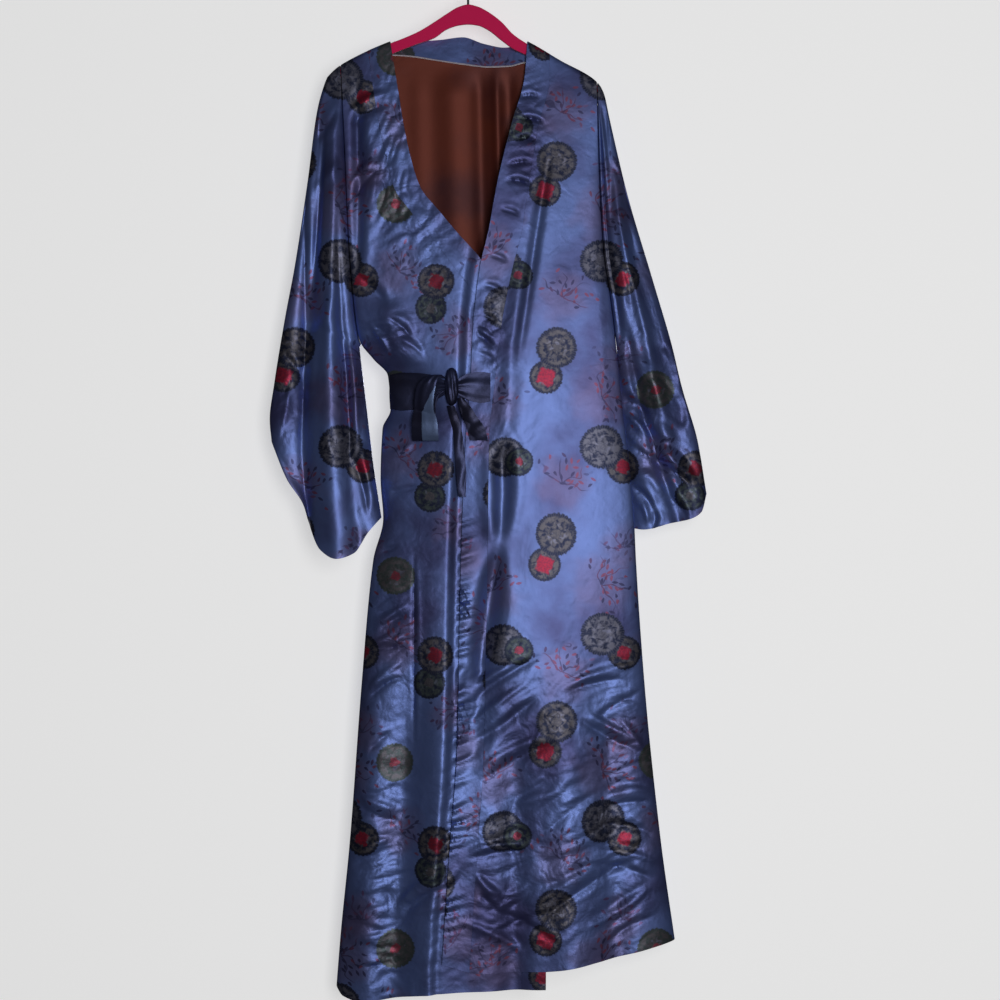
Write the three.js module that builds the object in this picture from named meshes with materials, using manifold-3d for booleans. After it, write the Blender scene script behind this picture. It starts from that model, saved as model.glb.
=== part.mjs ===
// A full-length satin kimono robe, hung on a slim arched hanger.
// Millimetres, +Z up, the front faces -Y and +X is to the right of someone looking at the front.
// The origin is the inside top of the hanger's hook. Heights are "down": how far below the origin.
// The robe's right and left are its wearer's, so sleeveRight hangs at -X and sleeveLeft at +X.
import * as THREE from "three";
import { mergeVertices } from "three/addons/utils/BufferGeometryUtils.js";
import Module from "manifold-3d";

const wasm = await Module();
wasm.setup();

// Driving sizes
const clothThickness = 1.6;
const bandThickness = 2.0;
const liningThickness = 1.0;
const gap = 0.3; // between pieces that are sewn together or lie on each other
const seamHalf = 0.36; // half the space in a band's seam
const underLap = 7; // how far the under panel lies behind the over panel
const hookRadius = 20; // inside the hook
const wireRadius = 1.75;
const barThickness = 6;

// Side seams below the armpits, armhole seams above them
const sideSeams = [
  { down: 130, left: -192, right: 192 },
  { down: 282, left: -184, right: 195 },
  { down: 432, left: -177, right: 202 },
  { down: 508, left: -171, right: 213 },
  { down: 566, left: -163, right: 220 },
  { down: 595, left: -142, right: 223 },
  { down: 620, left: -120, right: 226 },
  { down: 672, left: -116, right: 231 },
  { down: 700, left: -128, right: 235 },
  { down: 775, left: -131, right: 243 },
  { down: 835, left: -127, right: 248 },
  { down: 898, left: -142, right: 251 },
  { down: 1078, left: -159, right: 264 },
  { down: 1318, left: -177, right: 289 },
  { down: 1460, left: -191, right: 309 },
  { down: 1560, left: -199, right: 324 },
];

// The line of the shoulders, with its run across the open neck filled in
const shoulderLine = [
  { x: -224, down: 208 },
  { x: -215, down: 178 },
  { x: -207, down: 166 },
  { x: -182, down: 148 },
  { x: -117, down: 118 },
  { x: -60, down: 99 },
  { x: -13, down: 92 },
  { x: 48, down: 101 },
  { x: 89, down: 118 },
  { x: 141, down: 148 },
  { x: 185, down: 172 },
  { x: 199, down: 186 },
  { x: 208, down: 208 },
];

// Half of the robe's depth, by the distance below the line of the shoulders
const halfDepths = [
  { below: 0, half: 0.15 },
  { below: 1, half: 3 },
  { below: 3, half: 4.8 },
  { below: 8, half: 5.8 },
  { below: 40, half: 8.5 },
  { below: 120, half: 16 },
  { below: 240, half: 24 },
  { below: 400, half: 30 },
  { below: 520, half: 32 },
  { below: 750, half: 35 },
  { below: 1000, half: 42 },
  { below: 1450, half: 54 },
];

// How far the panels' side edges stand forward of (-) or behind (+) the middle
const seamDepths = [
  { down: 160, leftFront: -8, leftBack: 8, rightFront: -8, rightBack: 8 },
  { down: 300, leftFront: -13, leftBack: 13, rightFront: -9, rightBack: 14 },
  { down: 420, leftFront: -16, leftBack: 16, rightFront: -12, rightBack: 16 },
  { down: 520, leftFront: -11, leftBack: 12, rightFront: -14, rightBack: 8 },
  { down: 560, leftFront: -5, leftBack: 6, rightFront: -14.5, rightBack: -6 },
  { down: 578, leftFront: -0.15, leftBack: 0.15, rightFront: -14.15, rightBack: -13.85 },
  { down: 850, leftFront: -0.15, leftBack: 0.15, rightFront: -14.15, rightBack: -13.85 },
  { down: 1150, leftFront: -0.15, leftBack: 0.15, rightFront: -0.15, rightBack: 0.15 },
];

// The collar bands' free edges and seams, on the under panel and on the over panel
const underBand = [
  { down: 118, free: -117, seam: -152 },
  { down: 192, free: -105, seam: -142 },
  { down: 252, free: -95, seam: -132 },
  { down: 305, free: -83, seam: -120 },
  { down: 342, free: -70, seam: -110 },
  { down: 377, free: -42, seam: -85 },
  { down: 413, free: -12, seam: -56 },
  { down: 450, free: 21, seam: -28 },
  { down: 522, free: 68, seam: 24 },
  { down: 600, free: 98, seam: 58 },
  { down: 690, free: 115, seam: 78 },
  { down: 960, free: 118, seam: 82 },
  { down: 1540, free: 116, seam: 80 },
];
const overBand = [
  { down: 118, free: 89, seam: 122 },
  { down: 172, free: 85, seam: 123 },
  { down: 249, free: 64, seam: 105 },
  { down: 333, free: 44, seam: 91 },
  { down: 404, free: 31, seam: 81 },
  { down: 461, free: 18, seam: 67 },
  { down: 548, free: 8, seam: 50 },
  { down: 634, free: 4, seam: 40 },
  { down: 718, free: -3, seam: 32 },
  { down: 900, free: -10, seam: 29 },
  { down: 1182, free: -16, seam: 24 },
  { down: 1332, free: -27, seam: 14 },
  { down: 1500, free: -38, seam: 3 },
];

// The collar round the back of the neck: its seam, its free edge and how far that leans back
const neckBand = [
  { seam: -150.8, seamDown: 138.4, free: -117, freeDown: 123, lean: 0 },
  { seam: -138, seamDown: 137, free: -110, freeDown: 116, lean: 1 },
  { seam: -114, seamDown: 136, free: -98, freeDown: 113, lean: 3 },
  { seam: -92, seamDown: 137, free: -82, freeDown: 115, lean: 4 },
  { seam: -42, seamDown: 144, free: -42, freeDown: 112, lean: 5 },
  { seam: -6, seamDown: 149, free: -8, freeDown: 108, lean: 5 },
  { seam: 30, seamDown: 153, free: 24, freeDown: 118, lean: 5 },
  { seam: 62, seamDown: 152, free: 54, freeDown: 124, lean: 4 },
  { seam: 88, seamDown: 146, free: 72, freeDown: 122, lean: 3 },
  { seam: 108, seamDown: 143, free: 84, freeDown: 119, lean: 1 },
  { seam: 121.6, seamDown: 141.6, free: 89, freeDown: 123, lean: 0 },
];

// Hem lines
const underHem = [
  { x: -200, down: 1534 },
  { x: -186, down: 1550 },
  { x: -162, down: 1554.5 },
  { x: -42, down: 1539 },
  { x: 118, down: 1534 },
];
const overHem = [
  { x: -38, down: 1494 },
  { x: 16, down: 1508 },
  { x: 110, down: 1506 },
  { x: 198, down: 1493 },
  { x: 314, down: 1467 },
];
const backHem = [
  { x: -200, down: 1532 },
  { x: -60, down: 1528 },
  { x: 120, down: 1516 },
  { x: 220, down: 1496 },
  { x: 316, down: 1467 },
];

// Large folds: soft troughs (+) or ridges (-) along a line, with their half width
const frontFolds = [
  { top: 860, topX: 58, bottom: 1240, bottomX: -2, width: 22, depth: 9 },
  { top: 950, topX: -80, bottom: 1760, bottomX: -120, width: 26, depth: 15 },
  { top: 900, topX: -140, bottom: 1760, bottomX: -165, width: 22, depth: -9 },
  { top: 1000, topX: -30, bottom: 1760, bottomX: -50, width: 26, depth: -8 },
  { top: 1060, topX: 70, bottom: 1760, bottomX: 70, width: 24, depth: 10 },
  { top: 1000, topX: 140, bottom: 1760, bottomX: 165, width: 30, depth: -8 },
  { top: 1020, topX: 205, bottom: 1760, bottomX: 235, width: 24, depth: 11 },
  { top: 500, topX: -128, bottom: 612, bottomX: -92, width: 24, depth: -9 },
  { top: 596, topX: -104, bottom: 700, bottomX: -60, width: 26, depth: 8 },
  { top: 420, topX: 88, bottom: 780, bottomX: 46, width: 15, depth: -7 },
];
const backFolds = [
  { top: 420, topX: -110, bottom: 1760, bottomX: -135, width: 28, depth: 11 },
  { top: 620, topX: -40, bottom: 1760, bottomX: -60, width: 26, depth: -9 },
  { top: 380, topX: 20, bottom: 1760, bottomX: 25, width: 30, depth: 12 },
  { top: 640, topX: 95, bottom: 1760, bottomX: 110, width: 26, depth: -9 },
  { top: 440, topX: 150, bottom: 1760, bottomX: 200, width: 30, depth: 12 },
];

// Sleeves, by rows from the shoulder to the cuff. inner and outer are the row's two ends;
// centre is how far back the inner end lies, and bulge is how far each wall stands off.
const sleeveRight = {
  armpitRow: 12,
  rows: 20,
  stations: [
    { along: 0, inner: -194, innerDown: 154.5, outer: -211, outerDown: 171, centre: 0, bulge: 0 },
    { along: 0.03, inner: -192, innerDown: 161, outer: -214, outerDown: 178, centre: 0, bulge: 3 },
    { along: 0.12, inner: -190, innerDown: 212, outer: -226, outerDown: 220, centre: 0, bulge: 9 },
    { along: 0.3, inner: -182, innerDown: 340, outer: -241, outerDown: 330, centre: 0, bulge: 13 },
    { along: 0.48, inner: -171, innerDown: 492, outer: -260, outerDown: 455, centre: 0, bulge: 15 },
    { along: 0.6, inner: -164, innerDown: 578, outer: -275, outerDown: 535, centre: -1, bulge: 16 },
    { along: 0.74, inner: -153, innerDown: 668, outer: -290, outerDown: 628, centre: -8, bulge: 19 },
    { along: 0.88, inner: -142, innerDown: 756, outer: -297, outerDown: 685, centre: -17, bulge: 22 },
    { along: 1, inner: -130, innerDown: 834, outer: -294, outerDown: 720, centre: -20, bulge: 22 },
  ],
  cuffFront: [
    { across: 0, x: -130, down: 834 },
    { across: 0.14, x: -150, down: 858 },
    { across: 0.28, x: -170, down: 887 },
    { across: 0.42, x: -195, down: 895 },
    { across: 0.56, x: -219, down: 882 },
    { across: 0.68, x: -236, down: 846 },
    { across: 0.76, x: -245, down: 815 },
    { across: 0.88, x: -270, down: 777 },
    { across: 1, x: -294, down: 720 },
  ],
  cuffBack: [
    { across: 0, x: -130, down: 834 },
    { across: 0.3, x: -172, down: 850 },
    { across: 0.65, x: -236, down: 818 },
    { across: 1, x: -294, down: 720 },
  ],
  folds: [
    { from: 0.1, to: 1.15, at: 0.62, atEnd: 0.7, width: 0.09, depth: 12 },
    { from: 0.35, to: 1.2, at: 0.38, atEnd: 0.42, width: 0.1, depth: -8 },
    { from: 0.3, to: 1.1, at: 0.2, atEnd: 0.22, width: 0.07, depth: 7 },
  ],
};
const sleeveLeft = {
  armpitRow: 12,
  rows: 20,
  stations: [
    { along: 0, inner: 193.1, innerDown: 179.5, outer: 201, outerDown: 190, centre: 0, bulge: 0 },
    { along: 0.03, inner: 193.6, innerDown: 184, outer: 204, outerDown: 197, centre: 0, bulge: 3 },
    { along: 0.12, inner: 194.6, innerDown: 232, outer: 213, outerDown: 238, centre: 0, bulge: 8 },
    { along: 0.3, inner: 200, innerDown: 350, outer: 239, outerDown: 348, centre: 1, bulge: 11 },
    { along: 0.48, inner: 212.5, innerDown: 486, outer: 278, outerDown: 480, centre: -2, bulge: 13 },
    { along: 0.6, inner: 223.5, innerDown: 578, outer: 304, outerDown: 570, centre: -14, bulge: 14 },
    { along: 0.7, inner: 226.5, innerDown: 650, outer: 322, outerDown: 640, centre: 10, bulge: 15 },
    { along: 0.82, inner: 232, innerDown: 732, outer: 345, outerDown: 718, centre: 12, bulge: 16 },
    { along: 1, inner: 240, innerDown: 848, outer: 358.5, outerDown: 798, centre: 12, bulge: 16 },
  ],
  cuffFront: [
    { across: 0, x: 240, down: 848 },
    { across: 0.2, x: 264, down: 852 },
    { across: 0.5, x: 302, down: 843 },
    { across: 0.75, x: 334, down: 836 },
    { across: 0.9, x: 351, down: 825 },
    { across: 1, x: 358.5, down: 798 },
  ],
  cuffBack: [
    { across: 0, x: 240, down: 846 },
    { across: 0.5, x: 300, down: 836 },
    { across: 0.9, x: 349, down: 820 },
    { across: 1, x: 358.5, down: 798 },
  ],
  folds: [
    { from: 0.02, to: 0.62, at: 0.14, atEnd: 0.08, width: 0.07, depth: 7 },
    { from: 0.5, to: 1.1, at: 0.12, atEnd: 0.72, width: 0.08, depth: 9 },
    { from: 0.25, to: 0.95, at: 0.5, atEnd: 0.62, width: 0.1, depth: -6 },
  ],
};

// The ties, as straps lying on the panels: top and bottom edges, and how far they stand off
const sideTie = [
  { x: -114, top: 619, bottom: 671, lift: 1.8 },
  { x: -98, top: 616, bottom: 674, lift: 1.8 },
  { x: -76, top: 617, bottom: 672, lift: 2 },
  { x: -56, top: 620, bottom: 664, lift: 3 },
  { x: -32.2, top: 630, bottom: 650, lift: 4.6 },
];
const frontTie = [
  { x: -13.2, top: 627, bottom: 651, lift: 4.2 },
  { x: 2, top: 619, bottom: 659, lift: 2.5 },
  { x: 20, top: 617, bottom: 663, lift: 1 },
  { x: 34, top: 619, bottom: 661, lift: 0.5 },
];
const shortEnd = [
  { along: 0, left: -13.6, right: -6, down: 656, lift: 6.6 },
  { along: 0.18, left: -12, right: 4, down: 668, lift: 6.5 },
  { along: 0.4, left: -7, right: 14, down: 684, lift: 5.5 },
  { along: 0.7, left: 0, right: 25, down: 700, lift: 5 },
  { along: 1, left: 4, right: 31, down: 719, lift: 4 },
];
const longEnd = [
  { along: 0, left: -29, right: -19, down: 667.4, lift: 6.6 },
  { along: 0.15, left: -26, right: -13, down: 686, lift: 2.5 },
  { along: 0.33, left: -21, right: -8, down: 710, lift: 1 },
  { along: 0.8, left: -16, right: -2, down: 778, lift: 0.4 },
  { along: 1, left: -13, right: -3, down: 803, lift: 0.4 },
];
const knot = { x: -23.8, down: 639, halfWidth: 13, halfHeight: 28, halfDepth: 10, standOff: 8.9 };
// The bow's loop goes out from the knot, hangs down and comes back up behind itself
const bowLoop = [
  { left: -36.5, right: -32.6, down: 626, forward: 7.8 },
  { left: -52, right: -37, down: 622, forward: 14 },
  { left: -66, right: -43, down: 634, forward: 20 },
  { left: -74, right: -45, down: 660, forward: 20 },
  { left: -79, right: -43, down: 690, forward: 16 },
  { left: -80, right: -42, down: 713, forward: 11 },
  { left: -80, right: -42, down: 719, forward: 7.5 },
  { left: -78, right: -44, down: 712, forward: 4.5 },
  { left: -72, right: -46, down: 692, forward: 5 },
  { left: -62, right: -44, down: 668, forward: 9 },
  { left: -52, right: -40, down: 652, forward: 10 },
  { left: -40, right: -32.6, down: 645, forward: 8.6 },
];

// The hanger's bar, under the shoulders and arched over the neck
const hangerBar = [
  { x: -204, top: 166.6, bottom: 180 },
  { x: -192, top: 156.6, bottom: 174 },
  { x: -170, top: 143.8, bottom: 162 },
  { x: -146, top: 132.8, bottom: 151 },
  { x: -118, top: 120.8, bottom: 138 },
  { x: -100, top: 114, bottom: 130.5 },
  { x: -75, top: 103, bottom: 121 },
  { x: -51, top: 88.5, bottom: 112.5 },
  { x: -32, top: 76, bottom: 99.5 },
  { x: -14, top: 65.5, bottom: 93.5 },
  { x: 0, top: 62, bottom: 92 },
  { x: 14, top: 65, bottom: 93.5 },
  { x: 30, top: 73, bottom: 100.5 },
  { x: 50, top: 88, bottom: 116 },
  { x: 68, top: 107, bottom: 129 },
  { x: 89, top: 121.4, bottom: 139 },
  { x: 112, top: 135.4, bottom: 151.5 },
  { x: 141, top: 151.4, bottom: 168.5 },
  { x: 170, top: 165.5, bottom: 182 },
  { x: 185, top: 174.4, bottom: 188 },
  { x: 195, top: 185, bottom: 194 },
];

const clamp = THREE.MathUtils.clamp;
const lerp = THREE.MathUtils.lerp;
const smooth = (low, high, at) => THREE.MathUtils.smoothstep(at, low, high);

// A table's column at a key, on a smooth curve that never overshoots its rows
function lookup(table, key, at, column) {
  const last = table.length - 1;
  if (at <= table[0][key]) return table[0][column];
  if (at >= table[last][key]) return table[last][column];
  const i = table.findIndex((row) => row[key] > at) - 1;
  const slope = (k) => {
    if (k < 0 || k >= last) return 0;
    return (table[k + 1][column] - table[k][column]) / (table[k + 1][key] - table[k][key]);
  };
  const tangent = (before, after) => {
    if (before * after <= 0) return 0;
    return (2 * before * after) / (before + after);
  };
  const span = table[i + 1][key] - table[i][key];
  const t = (at - table[i][key]) / span;
  const start = tangent(i === 0 ? slope(0) : slope(i - 1), slope(i)) * span;
  const end = tangent(slope(i), i + 1 === last ? slope(i) : slope(i + 1)) * span;
  const rise = table[i + 1][column] - table[i][column];
  const bend = start + end - 2 * rise;
  return table[i][column] + t * (start + t * (3 * rise - 2 * start - end + t * bend));
}

const seamAt = (down, side) => lookup(sideSeams, "down", down, side);
const shoulderAt = (x) => lookup(shoulderLine, "x", x, "down");
const halfDepthAt = (x, down) =>
  lookup(halfDepths, "below", down - shoulderAt(x), "half");

// The sum of soft troughs and ridges at one point of the front or back
function foldsAt(folds, x, down) {
  let total = 0;
  for (const fold of folds) {
    const along = (down - fold.top) / (fold.bottom - fold.top);
    if (along <= 0 || along >= 1) continue;
    const off = (x - lerp(fold.topX, fold.bottomX, along)) / fold.width;
    const fade = smooth(0, 0.3, along) * smooth(0, 0.25, 1 - along);
    total += fold.depth * fade * Math.exp(-off * off);
  }
  return total;
}

// The front (side -1) or back (side 1) of the robe: an ellipse from seam to seam, with its folds
function bodyDepth(x, down, side) {
  const left = seamAt(down, "left");
  const right = seamAt(down, "right");
  const across = clamp((x - left) / (right - left), 0, 1);
  const half = halfDepthAt(x, down);
  const face = side < 0 ? "Front" : "Back";
  const edge = lerp(
    lookup(seamDepths, "down", down, "left" + face),
    lookup(seamDepths, "down", down, "right" + face),
    across,
  );
  const limited = side * Math.max(side * edge, -half);
  const held = clamp(limited, -half, half);
  const round = Math.sqrt(4 * across * (1 - across));
  const folds = foldsAt(side < 0 ? frontFolds : backFolds, x, down);
  const fullness = half - Math.abs(held) * (side * held > 0 ? 1 : -1);
  return held + side * Math.max(fullness, 0) * round - side * folds * round;
}

// How far the under panel drops behind the over panel where the two lie on each other
function lapAt(x, down) {
  const edge = lookup(overBand, "down", down, "free");
  return underLap * smooth(edge - 48, edge - 14, x);
}
const overDepth = (x, down) => bodyDepth(x, down, -1);
const underDepth = (x, down) => bodyDepth(x, down, -1) + lapAt(x, down);
const backDepth = (x, down) => bodyDepth(x, down, 1);

// A wall round a grid of middle points, half its thickness to each side along the normals.
// From row "joined" on, the last column is the first one again, which closes a tube.
// A square end is where the wall has turned round to run straight from front to back.
function wall(grid, thickness, { joined = Infinity, squareFirst = false, squareLast = false } = {}) {
  const rows = grid.length;
  const columns = grid[0].length;
  const last = columns - 1;
  const positions = [];
  const index = [];
  const folded = (i, j) => (i >= joined && j === last ? 0 : j);
  const at = (i, j, inner) => 2 * (i * columns + folded(i, j)) + inner;
  const step = new THREE.Vector3();
  // The point that would come after an end: the one before it, mirrored from front to back
  const beyond = (i, end, next) => {
    const mirrored = grid[i][next].clone();
    mirrored.y = 2 * grid[i][end].y - mirrored.y;
    return mirrored;
  };
  // The same above a top edge that has rolled over the shoulder line
  const mirroredBelow = (j) => new THREE.Vector3(grid[1][j].x, -grid[1][j].y, grid[1][j].z);
  const neighbour = (i, j, way) => {
    if (j + way >= 0 && j + way <= last) return grid[i][j + way];
    if (i >= joined) return grid[i][way < 0 ? last - 1 : 1];
    const square = way < 0 ? squareFirst : squareLast;
    return square ? beyond(i, j, j - way) : grid[i][j];
  };
  for (let i = 0; i < rows; i++) {
    for (let j = 0; j < columns; j++) {
      const across = neighbour(i, j, 1).clone().sub(neighbour(i, j, -1));
      const rolled = i === 0 && Math.abs(grid[0][j].y) < 0.2;
      const above = rolled ? mirroredBelow(j) : grid[Math.max(i - 1, 0)][j];
      step.copy(grid[Math.min(i + 1, rows - 1)][j]).sub(above);
      const normal = step.clone().cross(across).normalize();
      for (const side of [1, -1]) {
        const point = grid[i][j].clone().addScaledVector(normal, (side * thickness) / 2);
        positions.push(point.x, point.y, point.z);
      }
    }
  }
  const quad = (a, b, c, d) => index.push(a, b, c, a, c, d);
  for (let i = 0; i < rows - 1; i++) {
    for (let j = 0; j < last; j++) {
      quad(at(i, j, 0), at(i + 1, j, 0), at(i + 1, j + 1, 0), at(i, j + 1, 0));
      quad(at(i, j, 1), at(i, j + 1, 1), at(i + 1, j + 1, 1), at(i + 1, j, 1));
    }
    if (i < joined) {
      quad(at(i, 0, 0), at(i, 0, 1), at(i + 1, 0, 1), at(i + 1, 0, 0));
      quad(at(i, last, 1), at(i, last, 0), at(i + 1, last, 0), at(i + 1, last, 1));
    }
  }
  for (let j = 0; j < last; j++) {
    quad(at(0, j, 1), at(0, j, 0), at(0, j + 1, 0), at(0, j + 1, 1));
    const end = rows - 1;
    quad(at(end, j, 0), at(end, j, 1), at(end, j + 1, 1), at(end, j + 1, 0));
  }
  const geometry = new THREE.BufferGeometry();
  geometry.setAttribute("position", new THREE.Float32BufferAttribute(positions, 3));
  geometry.setIndex(index);
  return mergeVertices(geometry, 1e-4);
}

// Rows run close together where the cloth turns over the shoulders and where the waist draws in
function rowSteps() {
  const stretches = [
    { to: 0.295, count: 9 },
    { to: 0.415, count: 8 },
    { to: 1, count: 14 },
  ];
  const steps = [0, 0.0008, 0.0024, 0.007, 0.018];
  for (const { to, count } of stretches) {
    const from = steps[steps.length - 1];
    for (let i = 1; i <= count; i++) steps.push(lerp(from, to, i / count));
  }
  return steps;
}

// Columns crowd towards the ends that turn round a side seam
function columnSteps(count, crowdLeft, crowdRight) {
  return Array.from({ length: count }, (_, j) => {
    const t = j / (count - 1);
    if (crowdLeft && crowdRight) return (1 - Math.cos(Math.PI * t)) / 2;
    if (crowdLeft) return 1 - Math.cos((Math.PI * t) / 2);
    if (crowdRight) return Math.sin((Math.PI * t) / 2);
    return t;
  });
}

// A panel from its left edge to its right edge and from its top line to its hem line.
// "over" lists distances below the shoulder line where it starts, behind the hanger's bar.
function panel({ rows, columns, leftX, rightX, topAt, hemAt, depth, over = [], ...finish }) {
  const behind = over.map((below) =>
    columns.map((u) => {
      const x = lerp(leftX(topAt(0)), rightX(topAt(0)), u);
      const down = topAt(x) + below;
      return new THREE.Vector3(x, backDepth(x, down), -down);
    }),
  );
  const grid = rows.map((v) => {
    const ends = [leftX, rightX].map((edge) => {
      let x = edge(600);
      let down = 600;
      for (let pass = 0; pass < 12; pass++) {
        down = lerp(topAt(x), hemAt(x), v);
        x = edge(down);
      }
      return x;
    });
    return columns.map((u) => {
      const x = lerp(ends[0], ends[1], u);
      const down = lerp(topAt(x), hemAt(x), v);
      return new THREE.Vector3(x, depth(x, down), -down);
    });
  });
  if (over.length) grid[0].forEach((point) => (point.y = 0));
  return wall([...behind, ...grid], finish.thickness ?? clothThickness, finish);
}

const hemOf = (table) => (x) => lookup(table, "x", x, "down");
const bandEdge = (table, column, shift) => (down) => lookup(table, "down", down, column) + shift;
const sideEdge = (side, shift) => (down) => seamAt(down, side) + shift;

function frontRight() {
  return panel({
    rows: rowSteps(),
    columns: columnSteps(13, true, false),
    leftX: sideEdge("left", 0),
    rightX: bandEdge(underBand, "seam", -seamHalf),
    topAt: shoulderAt,
    hemAt: hemOf(underHem),
    depth: underDepth,
    squareFirst: true,
  });
}

function frontLeft() {
  return panel({
    rows: rowSteps(),
    columns: columnSteps(15, false, true),
    leftX: bandEdge(overBand, "seam", seamHalf),
    rightX: sideEdge("right", 0),
    topAt: shoulderAt,
    hemAt: hemOf(overHem),
    depth: overDepth,
    squareLast: true,
  });
}

// The bands run over the shoulder line to meet the collar at the back of the neck
const overShoulder = [2.8, 1];
function collarRight() {
  return panel({
    rows: rowSteps(),
    over: overShoulder,
    columns: columnSteps(3, false, false),
    leftX: bandEdge(underBand, "seam", seamHalf),
    rightX: bandEdge(underBand, "free", 0),
    topAt: shoulderAt,
    hemAt: hemOf(underHem),
    depth: underDepth,
    thickness: bandThickness,
  });
}

function collarLeft() {
  return panel({
    rows: rowSteps(),
    over: overShoulder,
    columns: columnSteps(3, false, false),
    leftX: bandEdge(overBand, "free", 0),
    rightX: bandEdge(overBand, "seam", -seamHalf),
    topAt: shoulderAt,
    hemAt: hemOf(overHem),
    depth: overDepth,
    thickness: bandThickness,
  });
}

// The back's top line is the shoulder line, cut down to the collar's seam across the neck
const first = neckBand[0];
const final = neckBand[neckBand.length - 1];
function backTop(x) {
  const seam = lookup(neckBand, "seam", x, "seamDown") + 5 * gap;
  const outside = Math.max(first.seam - x, x - final.seam, 0);
  return lerp(seam, shoulderAt(x), smooth(0.8, 3.8, outside));
}

// Columns at the two corners where the shoulder line meets the neck's seam
const neckCorners = [0.098, 0.1055, 0.8165, 0.824];
function back() {
  return panel({
    rows: rowSteps(),
    columns: [...columnSteps(21, true, true), ...neckCorners].sort((a, b) => a - b),
    leftX: sideEdge("left", 0),
    rightX: sideEdge("right", 0),
    topAt: backTop,
    hemAt: hemOf(backHem),
    depth: backDepth,
    squareFirst: true,
    squareLast: true,
  });
}

// The collar stands up from the back's neck seam, and its two ends meet the front bands
const clearOfBar = barThickness / 2 + gap + bandThickness / 2 + 0.4;
function collarBack() {
  const count = 30;
  const levels = 5;
  const grid = [];
  for (let i = 0; i <= levels; i++) {
    const row = [];
    for (let j = 0; j <= count; j++) {
      const at = lerp(first.seam, final.seam, j / count);
      const read = (column) => lookup(neckBand, "seam", at, column);
      const up = 1 - i / levels;
      const x = lerp(at, read("free"), up);
      const down = lerp(read("seamDown") - gap, read("freeDown"), up);
      const stand = backDepth(at, read("seamDown")) + read("lean") * up;
      row.push(new THREE.Vector3(x, Math.max(stand, clearOfBar), -down));
    }
    grid.push(row);
  }
  return wall(grid.map((row) => [...row].reverse()), bandThickness);
}

// The back's lining, seen through the open neck, lies just inside the back
function liningBack() {
  const inside = clothThickness / 2 + 2 * gap + liningThickness / 2 + 0.4;
  return panel({
    rows: Array.from({ length: 12 }, (_, i) => i / 11),
    columns: columnSteps(15, false, false),
    leftX: () => -132,
    rightX: () => 112,
    topAt: (x) => Math.max(backTop(x) + 2, shoulderAt(x) + 34),
    hemAt: () => 530,
    depth: (x, down) => backDepth(x, down) - inside,
    thickness: liningThickness,
  });
}

// A sleeve's wall goes from its front armhole edge round the outer fold to the back one.
// Below the armpit the two edges are one seam, and the wall is a tube down to the cuff.
function sleeve({ armpitRow, rows, stations, cuffFront, cuffBack, folds }, side) {
  const around = 20;
  const turn = [0, 0.0016, 0.005, 0.014, 0.04];
  const armpit = 0.6;
  const steps = Array.from({ length: rows + 1 }, (_, i) => {
    if (i < turn.length) return turn[i];
    if (i <= armpitRow) {
      const t = (i - turn.length + 1) / (armpitRow - turn.length + 1);
      return lerp(turn[turn.length - 1], armpit, t);
    }
    return lerp(armpit, 1, (i - armpitRow) / (rows - armpitRow));
  });
  const name = side < 0 ? "left" : "right";
  const grid = steps.map((along, i) => {
    const read = (column) => lookup(stations, "along", along, column);
    return Array.from({ length: around + 1 }, (_, j) => {
      const face = j <= around / 2 ? -1 : 1;
      const turned = (j <= around / 2 ? j : around - j) / (around / 2);
      const across = (1 - Math.cos(Math.PI * turned)) / 2;
      const open = i < armpitRow;
      const cuff = face < 0 ? cuffFront : cuffBack;
      const sag = smooth(0.55, 1, along) ** 2;
      const beside = side * (clothThickness + 2 * gap);
      const innerX = open ? seamAt(read("innerDown"), name) + beside : read("inner");
      const straightX = lerp(innerX, read("outer"), across);
      const straightDown = lerp(read("innerDown"), read("outerDown"), across);
      const end = stations[stations.length - 1];
      const endX = lerp(end.inner, end.outer, across);
      const endDown = lerp(end.innerDown, end.outerDown, across);
      const x = straightX + sag * (lookup(cuff, "across", across, "x") - endX);
      const down = straightDown + sag * (lookup(cuff, "across", across, "down") - endDown);
      const seamY = lookup(seamDepths, "down", read("innerDown"), name + (face < 0 ? "Front" : "Back"));
      const inner = open ? seamY : read("centre");
      const round = Math.sqrt(4 * across * (1 - across));
      let fold = 0;
      for (const { from, to, at, atEnd, width, depth } of folds) {
        const t = (along - from) / (to - from);
        if (t <= 0 || t >= 1) continue;
        const off = (across - lerp(at, atEnd, t)) / width;
        fold += depth * smooth(0, 0.3, t) * smooth(0, 0.1, 1 - t) * Math.exp(-off * off);
      }
      const outer = read("centre") * 0.4;
      const deep = lerp(inner, outer, across) + face * (read("bulge") - fold * 0.9) * round;
      const most = lookup(halfDepths, "below", down - shoulderAt(x), "half");
      const near = smooth(30, 90, down - shoulderAt(x));
      const y = lerp(clamp(deep, -most, most), deep, near);
      return new THREE.Vector3(x, y, -down);
    });
  });
  const turned = side < 0 ? grid.map((row) => [...row].reverse()) : grid;
  return wall(turned, clothThickness, { joined: armpitRow, squareFirst: true, squareLast: true });
}

// A point of the front, moved out along its normal
function liftedPoint(x, down, lift) {
  const step = 3;
  const slopeX = (overDepth(x + step, down) - overDepth(x - step, down)) / (2 * step);
  const slopeDown = (overDepth(x, down + step) - overDepth(x, down - step)) / (2 * step);
  const normal = new THREE.Vector3(slopeX, -1, -slopeDown).normalize();
  const off = (clothThickness + bandThickness) / 2 + gap + lift;
  return new THREE.Vector3(x, overDepth(x, down), -down).addScaledVector(normal, off);
}

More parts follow.
